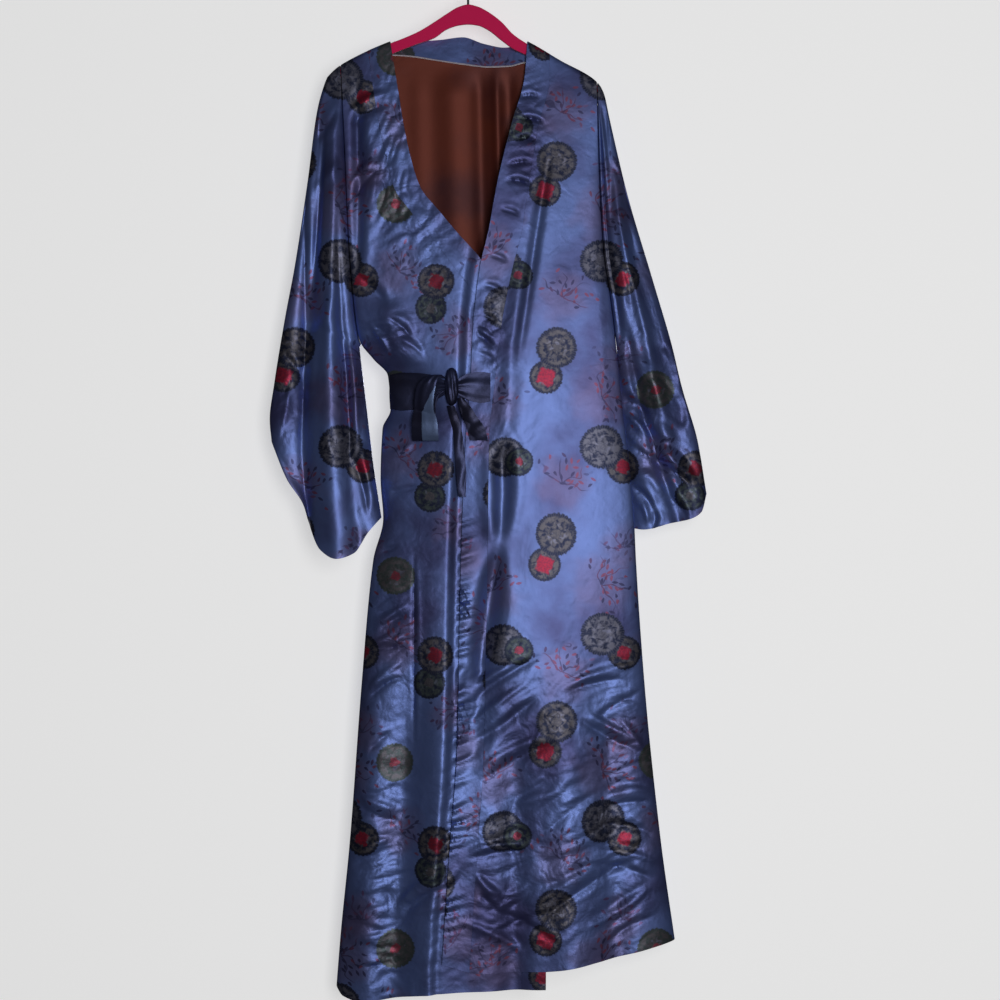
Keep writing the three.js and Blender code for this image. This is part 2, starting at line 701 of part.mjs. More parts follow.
// A strap of cloth that lies on the front, given by its stations along x
function flatTie(stations) {
  const columns = 8;
  const last = stations[stations.length - 1];
  const grid = Array.from({ length: 5 }, (_, i) =>
    Array.from({ length: columns + 1 }, (_, j) => {
      const x = lerp(stations[0].x, last.x, j / columns);
      const read = (column) => lookup(stations, "x", x, column);
      return liftedPoint(x, lerp(read("top"), read("bottom"), i / 4), read("lift"));
    }),
  );
  return wall(grid, clothThickness);
}

// A tie's end that hangs from the knot
function hangingTie(stations) {
  const rows = 9;
  const grid = Array.from({ length: rows + 1 }, (_, i) => {
    const read = (column) => lookup(stations, "along", i / rows, column);
    return [0, 0.5, 1].map((u) =>
      liftedPoint(lerp(read("left"), read("right"), u), read("down"), read("lift")),
    );
  });
  return wall(grid, clothThickness);
}

// The knot: an upright bead of wound cloth, squeezed at its middle
function knotSolid() {
  const bead = new THREE.SphereGeometry(1, 16, 12);
  const position = bead.getAttribute("position");
  for (let i = 0; i < position.count; i++) {
    const up = position.getY(i);
    const squeeze = 1 - 0.25 * (1 - up * up);
    position.setXYZ(
      i,
      knot.x + position.getX(i) * knot.halfWidth * squeeze,
      overDepth(knot.x, knot.down) - knot.standOff - position.getZ(i) * knot.halfDepth * squeeze,
      up * knot.halfHeight - knot.down,
    );
  }
  bead.deleteAttribute("normal");
  bead.deleteAttribute("uv");
  const merged = mergeVertices(bead, 1e-4);
  return merged;
}

// The bow's loop: a strap carried along its stations and doubled back under itself
function loopSolid() {
  const stations = bowLoop.map((row, i) => ({ ...row, along: i }));
  const steps = 2 * (stations.length - 1);
  const grid = Array.from({ length: steps + 1 }, (_, i) => {
    const read = (column) => lookup(stations, "along", i / 2, column);
    return [0, 0.5, 1].map((u) => {
      const x = lerp(read("left"), read("right"), u);
      return liftedPoint(x, read("down"), read("forward"));
    });
  });
  return wall(grid, clothThickness);
}

const extruded = (geometry) => {
  geometry.deleteAttribute("normal");
  geometry.deleteAttribute("uv");
  return mergeVertices(geometry, 1e-4);
};

function solidOf(geometry) {
  return new wasm.Manifold(
    new wasm.Mesh({
      numProp: 3,
      vertProperties: geometry.attributes.position.array,
      triVerts: new Uint32Array(geometry.index.array),
    }),
  );
}

function geometryOf(solid) {
  const mesh = solid.getMesh();
  const geometry = new THREE.BufferGeometry();
  geometry.setAttribute("position", new THREE.BufferAttribute(mesh.vertProperties, 3));
  geometry.setIndex(new THREE.BufferAttribute(mesh.triVerts, 1));
  return geometry;
}

// The hanger: a flat bar with rounded edges, and a socket for the hook's stem
const socketDepth = 14;
function hangerSolid() {
  const outline = new THREE.Shape();
  const half = barThickness / 2;
  const stationCount = 40;
  const ends = [hangerBar[0].x, hangerBar[hangerBar.length - 1].x];
  const stations = Array.from({ length: stationCount + 1 }, (_, i) => {
    const x = lerp(ends[0], ends[1], i / stationCount);
    return {
      x,
      top: lookup(hangerBar, "x", x, "top"),
      bottom: lookup(hangerBar, "x", x, "bottom"),
    };
  });
  stations.forEach(({ x, top }, i) => {
    if (i === 0) outline.moveTo(x, -top);
    else outline.lineTo(x, -top);
  });
  [...stations].reverse().forEach(({ x, bottom }) => outline.lineTo(x, -bottom));
  outline.closePath();
  const bevel = 1;
  const bar = new THREE.ExtrudeGeometry(outline, {
    depth: barThickness - 2 * bevel,
    bevelEnabled: true,
    bevelThickness: bevel,
    bevelSize: bevel,
    bevelOffset: -bevel,
    bevelSegments: 1,
  });
  bar.translate(0, 0, -half + bevel);
  bar.rotateX(Math.PI / 2);
  const stem = new THREE.CylinderGeometry(wireRadius + gap, wireRadius + gap, 2 * socketDepth, 16);
  stem.rotateX(Math.PI / 2);
  stem.translate(0, 0, -hangerBar[10].top);
  const cut = solidOf(extruded(bar)).subtract(solidOf(extruded(stem)));
  return geometryOf(cut);
}

// The hook: a round wire that rises out of the bar and turns over its arc to a short tip
function hookSolid() {
  const radius = hookRadius + wireRadius;
  const centre = -hookRadius;
  const arc = (degrees) => {
    const angle = THREE.MathUtils.degToRad(degrees);
    return new THREE.Vector3(radius * Math.cos(angle), 0, centre + radius * Math.sin(angle));
  };
  const points = [];
  for (let degrees = 205; degrees >= -35; degrees -= 15) points.push(arc(degrees));
  const foot = -hangerBar[10].top;
  points.push(new THREE.Vector3(9, 0, -39.5));
  points.push(new THREE.Vector3(1.2, 0, -46));
  points.push(new THREE.Vector3(0, 0, -54));
  points.push(new THREE.Vector3(0, 0, foot - socketDepth + gap));
  const path = new THREE.CatmullRomCurve3(points, false, "centripetal");
  const section = new THREE.Shape();
  section.absarc(0, 0, wireRadius, 0, 2 * Math.PI, false);
  const wire = new THREE.ExtrudeGeometry(section, {
    steps: 44,
    extrudePath: path,
    curveSegments: 5,
    bevelEnabled: false,
  });
  return extruded(wire);
}

const satin = new THREE.MeshStandardMaterial({ color: 0x3c4a93, roughness: 0.35, metalness: 0 });
const bandSatin = new THREE.MeshStandardMaterial({ color: 0x44549e, roughness: 0.35, metalness: 0 });
const lining = new THREE.MeshStandardMaterial({ color: 0x6e2a22, roughness: 0.45, metalness: 0 });
const flock = new THREE.MeshStandardMaterial({ color: 0xc8104c, roughness: 0.95, metalness: 0 });
const wire = new THREE.MeshStandardMaterial({ color: 0xc9cbcf, roughness: 0.22, metalness: 1 });

const kimono = new THREE.Group();
function add(name, geometry, material) {
  const mesh = new THREE.Mesh(geometry, material);
  mesh.name = name;
  kimono.add(mesh);
}
add("hanger", hangerSolid(), flock);
add("hook", hookSolid(), wire);
add("back", back(), satin);
add("lining_back", liningBack(), lining);
add("front_right", frontRight(), satin);
add("front_left", frontLeft(), satin);
add("collar_back", collarBack(), bandSatin);
add("collar_right", collarRight(), bandSatin);
add("collar_left", collarLeft(), bandSatin);
add("sleeve_right", sleeve(sleeveRight, -1), satin);
add("sleeve_left", sleeve(sleeveLeft, 1), satin);
add("tie_side", flatTie(sideTie), satin);
add("tie_front", flatTie(frontTie), satin);
add("tie_knot", knotSolid(), satin);
add("tie_loop", loopSolid(), satin);
add("tie_end_short", hangingTie(shortEnd), satin);
add("tie_end_long", hangingTie(longEnd), satin);

export default kimono;
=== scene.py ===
# A long satin kimono robe on a slim flocked hanger, hung in front of a plain pale wall.
# Lengths in the tables are millimetres. "down" is how far below the inside top of the hook.
import math
import bmesh
import bpy
import numpy as np
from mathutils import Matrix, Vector


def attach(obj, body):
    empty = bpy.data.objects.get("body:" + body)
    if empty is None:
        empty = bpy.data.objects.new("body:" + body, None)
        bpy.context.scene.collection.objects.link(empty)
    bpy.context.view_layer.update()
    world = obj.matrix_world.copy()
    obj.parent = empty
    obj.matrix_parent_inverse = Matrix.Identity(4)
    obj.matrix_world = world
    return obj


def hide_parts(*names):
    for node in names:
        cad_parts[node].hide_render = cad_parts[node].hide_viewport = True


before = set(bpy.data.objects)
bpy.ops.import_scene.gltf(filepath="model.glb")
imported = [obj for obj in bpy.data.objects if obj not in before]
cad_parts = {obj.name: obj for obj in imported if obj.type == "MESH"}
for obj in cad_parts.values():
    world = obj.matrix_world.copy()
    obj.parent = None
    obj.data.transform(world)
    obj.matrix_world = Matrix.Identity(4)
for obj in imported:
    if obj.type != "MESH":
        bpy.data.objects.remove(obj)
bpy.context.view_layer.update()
scene = bpy.context.scene
scene.view_settings.view_transform = "Standard"
print("frame loaded")


def table(names, *rows):
    # a chart with named columns, a row per section of the robe
    return dict(zip(names.split(), np.array(rows, float).T))


def lookup(chart, key, at, column):
    # cubic pieces through the rows, whose slope at a row is the harmonic mean of its neighbours'
    keys, values = chart[key], chart[column]
    span = np.diff(keys)
    slope = np.diff(values) / span
    before, after = slope[:-1], slope[1:]
    tangent = np.concatenate([slope[:1], np.zeros(len(slope) - 1), slope[-1:]])
    same = before * after > 0
    tangent[1:-1][same] = (2 * before * after)[same] / (before + after)[same]
    at = np.clip(at, keys[0], keys[-1])
    i = np.clip(np.searchsorted(keys, at, side="right") - 1, 0, len(span) - 1)
    t = (at - keys[i]) / span[i]
    start, end = tangent[i] * span[i], tangent[i + 1] * span[i]
    rise = values[i + 1] - values[i]
    bend = start + end - 2 * rise
    return values[i] + t * (start + t * (3 * rise - 2 * start - end + t * bend))


def columnsAt(chart, key, at):
    # every column of the chart, read at the same places
    return {column: lookup(chart, key, at, column) for column in chart}


def smooth(low, high, at):
    # from 0 at low to 1 at high, level at both
    t = np.clip((at - low) / (high - low), 0, 1)
    return t * t * (3 - 2 * t)


def lerp(a, b, t):
    return a + (b - a) * t


def unit(vectors):
    return vectors / np.maximum(np.linalg.norm(vectors, axis=-1, keepdims=True), 1e-9)


# The robe's own lines, the same as its solids have
sideSeams = table(
    "down left right",
    (130, -192, 192), (282, -184, 195), (432, -177, 202), (508, -171, 213), (566, -163, 220),
    (595, -142, 223), (620, -120, 226), (672, -116, 231), (700, -128, 235), (775, -131, 243),
    (835, -127, 248), (898, -142, 251), (1078, -159, 264), (1318, -177, 289), (1460, -191, 309),
    (1560, -199, 324))
shoulderLine = table(
    "x down",
    (-224, 208), (-215, 178), (-207, 166), (-182, 148), (-117, 118), (-60, 99), (-13, 92), (48, 101),
    (89, 118), (141, 148), (185, 172), (199, 186), (208, 208))
halfDepths = table(
    "below half",
    (0, 0.15), (1, 3), (3, 4.8), (8, 5.8), (40, 8.5), (120, 16), (240, 24), (400, 30), (520, 32),
    (750, 35), (1000, 42), (1450, 54))
seamDepths = table(
    "down leftFront leftBack rightFront rightBack",
    (160, -8, 8, -8, 8), (300, -13, 13, -9, 14), (420, -16, 16, -12, 16), (520, -11, 12, -14, 8),
    (560, -5, 6, -14.5, -6), (578, -0.15, 0.15, -14.15, -13.85), (850, -0.15, 0.15, -14.15, -13.85),
    (1150, -0.15, 0.15, -0.15, 0.15))
underBand = table(
    "down free seam",
    (118, -117, -152), (192, -105, -142), (252, -95, -132), (305, -83, -120), (342, -70, -110),
    (377, -42, -85), (413, -12, -56), (450, 21, -28), (522, 68, 24), (600, 98, 58), (690, 115, 78),
    (960, 118, 82), (1540, 116, 80))
overBand = table(
    "down free seam",
    (118, 89, 122), (172, 85, 123), (249, 64, 105), (333, 44, 91), (404, 31, 81), (461, 18, 67),
    (548, 8, 50), (634, 4, 40), (718, -3, 32), (900, -10, 29), (1182, -16, 24), (1332, -27, 14),
    (1500, -38, 3))
neckBand = table(
    "seam seamDown free freeDown lean",
    (-150.8, 138.4, -117, 123, 0), (-138, 137, -110, 116, 1), (-114, 136, -98, 113, 3),
    (-92, 137, -82, 115, 4), (-42, 144, -42, 112, 5), (-6, 149, -8, 108, 5), (30, 153, 24, 118, 5),
    (62, 152, 54, 124, 4), (88, 146, 72, 122, 3), (108, 143, 84, 119, 1), (121.6, 141.6, 89, 123, 0))
underHem = table("x down", (-200, 1534), (-186, 1550), (-162, 1554.5), (-42, 1539), (118, 1534))
overHem = table("x down", (-38, 1494), (16, 1508), (110, 1506), (198, 1493), (314, 1467))
backHem = table("x down", (-200, 1532), (-60, 1528), (120, 1516), (220, 1496), (316, 1467))
hangerBar = table(
    "x top bottom",
    (-204, 166.6, 180), (-192, 156.6, 174), (-170, 143.8, 162), (-146, 132.8, 151),
    (-118, 120.8, 138), (-100, 114, 130.5), (-75, 103, 121), (-51, 88.5, 112.5), (-32, 76, 99.5),
    (-14, 65.5, 93.5), (0, 62, 92), (14, 65, 93.5), (30, 73, 100.5), (50, 88, 116), (68, 107, 129),
    (89, 121.4, 139), (112, 135.4, 151.5), (141, 151.4, 168.5), (170, 165.5, 182), (185, 174.4, 188),
    (195, 185, 194))

# Folds that run a long way down: troughs (+) and ridges (-)
longFolds = "top topX bottom bottomX width depth"
frontFolds = table(
    longFolds,
    (860, 58, 1240, -2, 22, 9), (950, -80, 1760, -120, 26, 15), (900, -140, 1760, -165, 22, -9),
    (1000, -30, 1760, -50, 26, -8), (1060, 70, 1760, 70, 24, 10), (1000, 140, 1760, 165, 30, -8),
    (1020, 205, 1760, 235, 24, 11), (500, -128, 612, -92, 24, -9), (596, -104, 700, -60, 26, 8),
    (250, 127, 640, 67, 8, 5), (420, 88, 780, 46, 15, -5))
backFolds = table(
    longFolds,
    (420, -110, 1760, -135, 28, 11), (620, -40, 1760, -60, 26, -9), (380, 20, 1760, 25, 30, 12),
    (640, 95, 1760, 110, 26, -9), (440, 150, 1760, 200, 30, 12))

# Creases, each from one point to another: bow bends it sideways, depth + is a trough
creaseColumns = "fromX fromDown toX toDown bow width depth"
frontCreases = table(
    creaseColumns,
    # the deep soft fold beside the band, and the ridge to its left
    (57, 700, 48, 868, -3, 14, 7), (48, 868, 15, 1093, -5, 15, 9.5), (30, 732, 33, 878, 4, 13, -5),
    # slanting folds that rise from the band towards the side seam
    (6, 1108, 108, 1040, 5, 7, 4.5), (3, 1092, 72, 1053, 3, 6, -3.5), (2, 1172, 108, 1094, -5, 8, 5),
    (2, 1147, 92, 1078, 4, 6, -4), (18, 1227, 138, 1167, 6, 7, 3), (10, 1210, 120, 1156, 6, 6, -2.5),
    (152, 1080, 261, 1053, 5, 6, -3), (141, 1095, 238, 1074, 4, 6, 3.5),
    (176, 1121, 255, 1166, -4, 5, -3), (160, 1128, 258, 1184, -5, 7, 3.5),
    (183, 1139, 264, 1094, 4, 6, 3), (226, 1135, 270, 1195, 3, 6, -3),
    # arcs towards the side seam, lower down
    (198, 1257, 276, 1243, 8, 7, -3.5), (196, 1272, 280, 1262, 8, 6, 3), (198, 1292, 284, 1312, 7, 7, 3.5),
    (182, 1332, 288, 1352, 8, 6, -3), (170, 1350, 280, 1376, 8, 7, 3),
    # crumpled cloth above the hem
    (-6, 1340, 96, 1330, 4, 6, 4), (-5, 1328, 100, 1317, 4, 5, -3), (12, 1360, 51, 1394, -5, 6, -4.5),
    (51, 1394, 92, 1375, -5, 6, -3.5), (18, 1388, 50, 1414, -4, 6, 4), (50, 1414, 96, 1392, -4, 6, 3.5),
    (108, 1430, 258, 1340, 7, 7, 4.5), (93, 1415, 198, 1350, 6, 6, -3.5), (168, 1446, 281, 1378, -6, 7, -4),
    (198, 1474, 286, 1424, 5, 6, 3.5), (3, 1408, 138, 1467, 8, 7, 3.5), (-14, 1430, 84, 1480, 6, 6, -3.5),
    (33, 1452, 138, 1415, 4, 5, 3), (120, 1300, 190, 1245, 5, 7, 3), (60, 1260, 150, 1225, -6, 8, -3),
    # the under panel: its own seam, slanting creases and a crumpled side near the hem
    (-80, 882, -80, 1185, 0, 4, 3.2), (-132, 996, -87, 962, 3, 6, -3.5), (-138, 1008, -88, 976, 3, 6, 3.5),
    (-146, 897, -102, 876, 3, 6, 3), (-150, 1036, -90, 1026, 3, 5, 3.2),
    (-150, 1024, -92, 1012, 3, 5, -2.5),
    (-150, 1092, -95, 1048, 4, 6, -3.5), (-152, 1110, -98, 1068, 4, 6, 3.5),
    (-108, 1420, -48, 1364, 5, 6, -4.5), (-102, 1436, -40, 1380, 5, 6, 4.5),
    (-180, 1348, -110, 1310, 5, 7, -3.5),
    (-178, 1362, -112, 1326, 5, 6, 3), (-176, 1256, -100, 1288, -5, 7, 3.5),
    (-172, 1240, -98, 1270, -5, 6, -3),
    (-192, 1480, -130, 1470, 3, 5, 3), (-194, 1468, -128, 1457, 3, 5, -2.5),
    (-194, 1512, -125, 1500, 3, 5, 3),
    (-190, 1440, -120, 1452, 4, 6, 3), (-150, 1190, -110, 1150, 4, 6, 3), (-122, 800, -70, 788, 3, 5, 2.5),
    (-126, 742, -80, 722, -3, 6, -2.5),
    # the bodice: arcs from the armhole, and cloth that sags over the tie
    (-183, 232, -118, 195, 6, 6, -3.5), (-178, 248, -114, 213, 6, 7, 3.5), (-183, 346, -136, 297, 5, 6, -4),
    (-174, 360, -124, 306, 5, 7, 4), (-168, 172, -171, 500, 3, 12, 7), (-170, 470, -120, 520, 5, 8, 3),
    (-165, 560, -104, 548, 2, 5, 3), (-154, 573, -108, 562, 1, 4, -2.5), (-146, 590, -96, 574, -2, 5, 3),
    (-145, 548, -118, 590, 3, 5, -3.5), (-120, 536, -84, 566, 4, 6, 3.5), (-104, 566, -66, 592, 3, 6, -2.5),
    # the crumpled crossing of the two bands, and short strokes across the over band
    (12, 549, 38, 569, 1, 3.5, -2.6), (12, 557, 40, 580, 1, 4, 3.6), (20, 530, 46, 545, 2, 5, 3),
    (16, 590, 40, 600, 2, 5, 2.5), (74, 206, 108, 202, 3, 4, 4.2), (76, 236, 116, 243, 3, 4, 4.4),
    (70, 266, 104, 272, 3, 4, 3.6), (58, 308, 98, 303, 3, 4, 4.0), (56, 330, 96, 336, 3, 4.5, 4.6),
    (48, 372, 78, 382, 2, 4, 2.6), (30, 440, 60, 452, 2, 5, 2.6), (22, 486, 54, 500, 3, 5, 3.2),
    # long quiet swells on the upper part of the over panel
    (150, 240, 162, 700, 6, 30, 1.0), (196, 330, 206, 800, -5, 24, -0.8), (118, 560, 108, 960, 5, 26, -0.9))
backCreases = table(
    creaseColumns,
    (-150, 240, -96, 205, 6, 7, 4), (-152, 224, -98, 190, 6, 6, -3.5), (150, 260, 96, 225, -6, 7, 4),
    (160, 360, 110, 310, -5, 8, 3.5), (-150, 380, -90, 330, 6, 8, -3.5), (-140, 575, -60, 560, 5, 7, 5),
    (-138, 592, -66, 578, 5, 6, -4.5), (-120, 625, -40, 600, 5, 7, 4), (60, 640, 150, 600, -6, 9, 3.5),
    (90, 680, 190, 640, -6, 9, -3.5), (-60, 540, 20, 610, 7, 9, 3), (-140, 980, -70, 1040, 6, 8, 4),
    (-130, 1000, -62, 1060, 6, 7, -3.5), (30, 1080, 130, 1010, 6, 8, 4), (24, 1060, 120, 996, 6, 7, -3.5),
    (120, 1180, 220, 1120, 6, 8, 4), (110, 1160, 214, 1104, 6, 7, -3.5), (-150, 1240, -60, 1200, 6, 8, 4),
    (-80, 1330, 30, 1280, -6, 8, 3.5), (-170, 1420, -80, 1380, 6, 7, 4),
    (-164, 1406, -84, 1364, 6, 6, -3.5),
    (40, 1400, 150, 1340, 7, 8, 4), (150, 1420, 270, 1350, 7, 7, -4), (160, 1440, 280, 1372, 7, 7, 4),
    (-20, 1460, 90, 1430, 5, 7, 3.5), (200, 1290, 270, 1250, 5, 7, 3), (10, 760, 90, 720, 5, 9, 2.5))

# Where the satin is crumpled all over: the middle and reach of each patch, and how its crinkles run
crinklePatches = "x down reachX reachDown height angle length breadth"
frontCrinkles = table(
    crinklePatches,
    (120, 1345, 190, 150, 2.2, 24, 60, 15), (60, 1130, 110, 95, 1.5, 34, 55, 14),
    (-130, 1380, 80, 200, 2.3, 14, 50, 13), (-120, 980, 60, 190, 1.7, 22, 50, 13),
    (-128, 570, 60, 42, 1.7, 18, 44, 13), (-112, 285, 34, 115, 2.2, 70, 36, 10),
    (-66, 400, 60, 60, 1.6, 40, 34, 10), (28, 560, 30, 60, 1.8, 40, 30, 9),
    (230, 1140, 60, 90, 1.4, 20, 50, 12),
    (90, 250, 26, 130, 1.0, 15, 30, 9), (20, 700, 60, 80, 0.8, 60, 40, 12))
backCrinkles = table(
    crinklePatches,
    (-60, 570, 120, 70, 2.0, 14, 50, 13), (-100, 1300, 120, 240, 1.8, 20, 60, 15),
    (150, 1280, 150, 260, 1.8, 160, 60, 15), (20, 260, 200, 120, 0.9, 80, 60, 15))


def seamAt(down, side):
    return lookup(sideSeams, "down", down, side)


def shoulderAt(x):
    return lookup(shoulderLine, "x", x, "down")


def halfDepthAt(x, down):
    return lookup(halfDepths, "below", down - shoulderAt(x), "half")


def eachRow(chart):
    # the chart's rows one by one, as plain numbers by column name
    for i in range(len(next(iter(chart.values())))):
        yield {name: float(values[i]) for name, values in chart.items()}


def longFoldsAt(chart, x, down):
    # a bell across each fold's slanting line, faded in and out along it
    total = np.zeros(np.broadcast(x, down).shape)
    for fold in eachRow(chart):
        along = (down - fold["top"]) / (fold["bottom"] - fold["top"])
        off = (x - lerp(fold["topX"], fold["bottomX"], along)) / fold["width"]
        fade = smooth(0, 0.3, along) * smooth(0, 0.25, 1 - along)
        total = total + fold["depth"] * fade * np.exp(-off * off)
    return total


def creasesAt(chart, x, down):
    # a narrow bell across each crease, with a low lip on one side, tapered to both its ends
    total = np.zeros(np.broadcast(x, down).shape)
    for crease in eachRow(chart):
        runX, runDown = crease["toX"] - crease["fromX"], crease["toDown"] - crease["fromDown"]
        length = math.hypot(runX, runDown)
        awayX, awayDown = x - crease["fromX"], down - crease["fromDown"]
        along = (awayX * runX + awayDown * runDown) / length**2
        off = (awayX * runDown - awayDown * runX) / length
        inside = np.clip(along, 0, 1)
        off = off - crease["bow"] * 4 * inside * (1 - inside)
        width = crease["width"] * (0.55 + 0.45 * np.sin(math.pi * inside))
        fade = smooth(-0.04, 0.3, along) * smooth(-0.04, 0.3, 1 - along)
        pointed = np.exp(0.45 - 1.6 * np.sqrt((off / width) ** 2 + 0.08))
        bell = lerp(pointed, np.exp(-((off / width) ** 2)), smooth(6, 9, crease["width"]))
        bell = bell - 0.4 * np.exp(-(((off - 1.7 * width) / width) ** 2))
        total = total + crease["depth"] * fade * bell
    return total


lattice = np.random.default_rng(7).random((64, 64))


def softNoise(u, v):
    # random heights on a square lattice, blended smoothly between its points
    i, j = np.floor(u).astype(int), np.floor(v).astype(int)
    s, t = u - i, v - j
    s, t = s * s * (3 - 2 * s), t * t * (3 - 2 * t)
    low = lerp(lattice[i % 64, j % 64], lattice[(i + 1) % 64, j % 64], s)
    high = lerp(lattice[i % 64, (j + 1) % 64], lattice[(i + 1) % 64, (j + 1) % 64], s)
    return lerp(low, high, t)


def awayFrom(patch, x, down):
    # the squared distance from a patch's middle, in shares of its reach
    return ((x - patch["x"]) / patch["reachX"]) ** 2 + ((down - patch["down"]) / patch["reachDown"]) ** 2


def crinklesAt(chart, x, down):
    # folded noise, drawn out along each patch's own direction and strongest at the patch's middle
    total = np.zeros(np.broadcast(x, down).shape)
    for count, patch in enumerate(eachRow(chart)):
        turn = math.radians(patch["angle"])
        along = x * math.cos(turn) - down * math.sin(turn)
        across = x * math.sin(turn) + down * math.cos(turn)
        sway = 14 * softNoise(x / 45 + 9 * count, down / 45)
        u, v = along / patch["length"] + 3.7 * count, (across + sway) / patch["breadth"]
        ridges = 1 - np.abs(2 * softNoise(u, v) - 1)
        small = 1 - np.abs(2 * softNoise(u * 2 + 20, v * 1.9 + 11) - 1)
        weight = patch["height"] * np.exp(-awayFrom(patch, x, down))
        total = total + weight * (1.5 * ridges**2 + 0.4 * small**2 - 0.8)
    return total


# The gathers beside the over band: their height, the length of one, and where they begin and end
gathers = {"height": 2.3, "length": 18, "slant": 60, "begin": 800, "full": 900, "end": 1470, "fade": 90,
           "outside": 4, "across": 12}


def gathersAt(x, down):
    # a wave down the over band's free edge, of uneven length, that dies away across the band
    past = x - lookup(overBand, "down", down, "free")
    phase = down / gathers["length"] + 2.4 * softNoise(down / 58, 0 * down + 5) + past / gathers["slant"]
    reach = gathers["across"] * (1 + softNoise(down / 27, 0 * down + 31))
    reach = np.where(past < 0, gathers["outside"], reach)
    size = smooth(gathers["begin"], gathers["full"], down)
    size = size * smooth(0, gathers["fade"], gathers["end"] - down)
    size = size * (0.25 + 1.2 * softNoise(down / 22, 0 * down + 17))
    wave = np.sin(2 * math.pi * phase) + 0.5 * np.sin(2 * math.pi * (phase * 1.7 + 0.3))
    return gathers["height"] * size * wave * np.exp(-((past / reach) ** 2))


# Where the small creases die away: by the side seams, by the shoulders and round the bow
calmPlaces = {"side": 22, "shoulder": 40, "tie": (-22, 655, 34, 52)}


def bodyDepth(x, down, side, fine=True):
    # an ellipse from side seam to side seam, as deep as its height says, with the folds cut into it
    left, right = seamAt(down, "left"), seamAt(down, "right")
    across = np.clip((x - left) / (right - left), 0, 1)
    half = halfDepthAt(x, down)
    face = "Front" if side < 0 else "Back"
    leftEdge, rightEdge = (lookup(seamDepths, "down", down, name + face) for name in ("left", "right"))
    edge = lerp(leftEdge, rightEdge, across)
    held = np.clip(side * np.maximum(side * edge, -half), -half, half)
    roundness = np.sqrt(4 * across * (1 - across))
    fullness = np.maximum(half - np.abs(held) * np.where(side * held > 0, 1, -1), 0)
    folds = longFoldsAt(frontFolds if side < 0 else backFolds, x, down)
    y = held + side * fullness * roundness - side * folds * roundness
    if not fine:
        return y
    inset = np.minimum(x - left, right - x)
    calm = smooth(0, calmPlaces["side"], inset) * smooth(2, calmPlaces["shoulder"], down - shoulderAt(x))
    if side < 0:
        detail = creasesAt(frontCreases, x, down) + crinklesAt(frontCrinkles, x, down) + gathersAt(x, down)
        tieX, tieDown, reachX, reachDown = calmPlaces["tie"]
        away = ((x - tieX) / reachX) ** 2 + ((down - tieDown) / reachDown) ** 2
        calm = calm * (1 - 0.85 * np.exp(-away))
    else:
        detail = creasesAt(backCreases, x, down) + crinklesAt(backCrinkles, x, down)
    return y - side * detail * calm


# How far the under front lies behind the over one: full past its edge, a little less farther off
underLap = {"depth": 9.5, "from": -22, "to": -6, "less": 2.5, "lessFrom": -80, "lessTo": -24}


def overDepth(x, down):
    return bodyDepth(x, down, -1)


def underDepth(x, down):
    past = x - lookup(overBand, "down", down, "free")
    lap = underLap["depth"] * smooth(underLap["from"], underLap["to"], past)
    less = underLap["less"] * smooth(underLap["lessFrom"], underLap["lessTo"], past)
    return bodyDepth(x, down, -1) + lap - less


def backDepth(x, down):
    return bodyDepth(x, down, 1)


# Meshes from grids of points

cloth = {"thickness": 1.6, "bandThickness": 2.0, "liningThickness": 1.0}


def normalsOf(grid, tube=False, rolled=False, squareFirst=False, squareLast=False):
    # the cross product of the differences down and across the grid; past an edge where the cloth
    # has turned round to run from front to back, the next point is the last one mirrored in depth
    down = np.gradient(grid, axis=0)
    if rolled:
        above = grid[1] * (1, -1, 1)
        down[0] = (grid[1] - above) / 2
    if tube:
        ring = grid[:, :-1]
        across = (np.roll(ring, -1, 1) - np.roll(ring, 1, 1)) / 2
        across = np.concatenate([across, across[:, :1]], 1)
    else:
        across = np.gradient(grid, axis=1)
        for square, end, inner, sign in ((squareFirst, 0, 1, 1), (squareLast, -1, -2, -1)):
            if square:
                beyond = grid[:, inner] * (1, -1, 1) + 2 * grid[:, end] * (0, 1, 0)
                across[:, end] = sign * (grid[:, inner] - beyond) / 2
    return unit(np.cross(down, across))


def meshOf(name, points, quads, uv, materialIndex, materials, crumple=None):
    # a mesh in metres, with the cloth's own coordinates as its UV and how crumpled it is at each point
    mesh = bpy.data.meshes.new(name)
    mesh.vertices.add(len(points))
    mesh.vertices.foreach_set("co", (points / 1000).astype(np.float32).ravel())
    mesh.loops.add(quads.size)
    mesh.loops.foreach_set("vertex_index", quads.astype(np.int32).ravel())
    mesh.polygons.add(len(quads))
    mesh.polygons.foreach_set("loop_start", (4 * np.arange(len(quads))).astype(np.int32))
    mesh.polygons.foreach_set("material_index", materialIndex.astype(np.int32))
    layer = mesh.uv_layers.new(name="clothMetres")
    layer.data.foreach_set("uv", (uv[quads.ravel()] / 1000).astype(np.float32).ravel())
    crumpled = np.full(len(points), 0.3) if crumple is None else crumple
    mesh.attributes.new("crumple", "FLOAT", "POINT").data.foreach_set("value", crumpled.astype(np.float32))
    for material in materials:
        mesh.materials.append(material)
    mesh.update(calc_edges=True)
    mesh.validate()
    mesh.polygons.foreach_set("use_smooth", np.ones(len(mesh.polygons), bool))
    mesh.set_sharp_from_angle(angle=math.radians(62))
    piece = bpy.data.objects.new(name, mesh)
    scene.collection.objects.link(piece)
    return piece


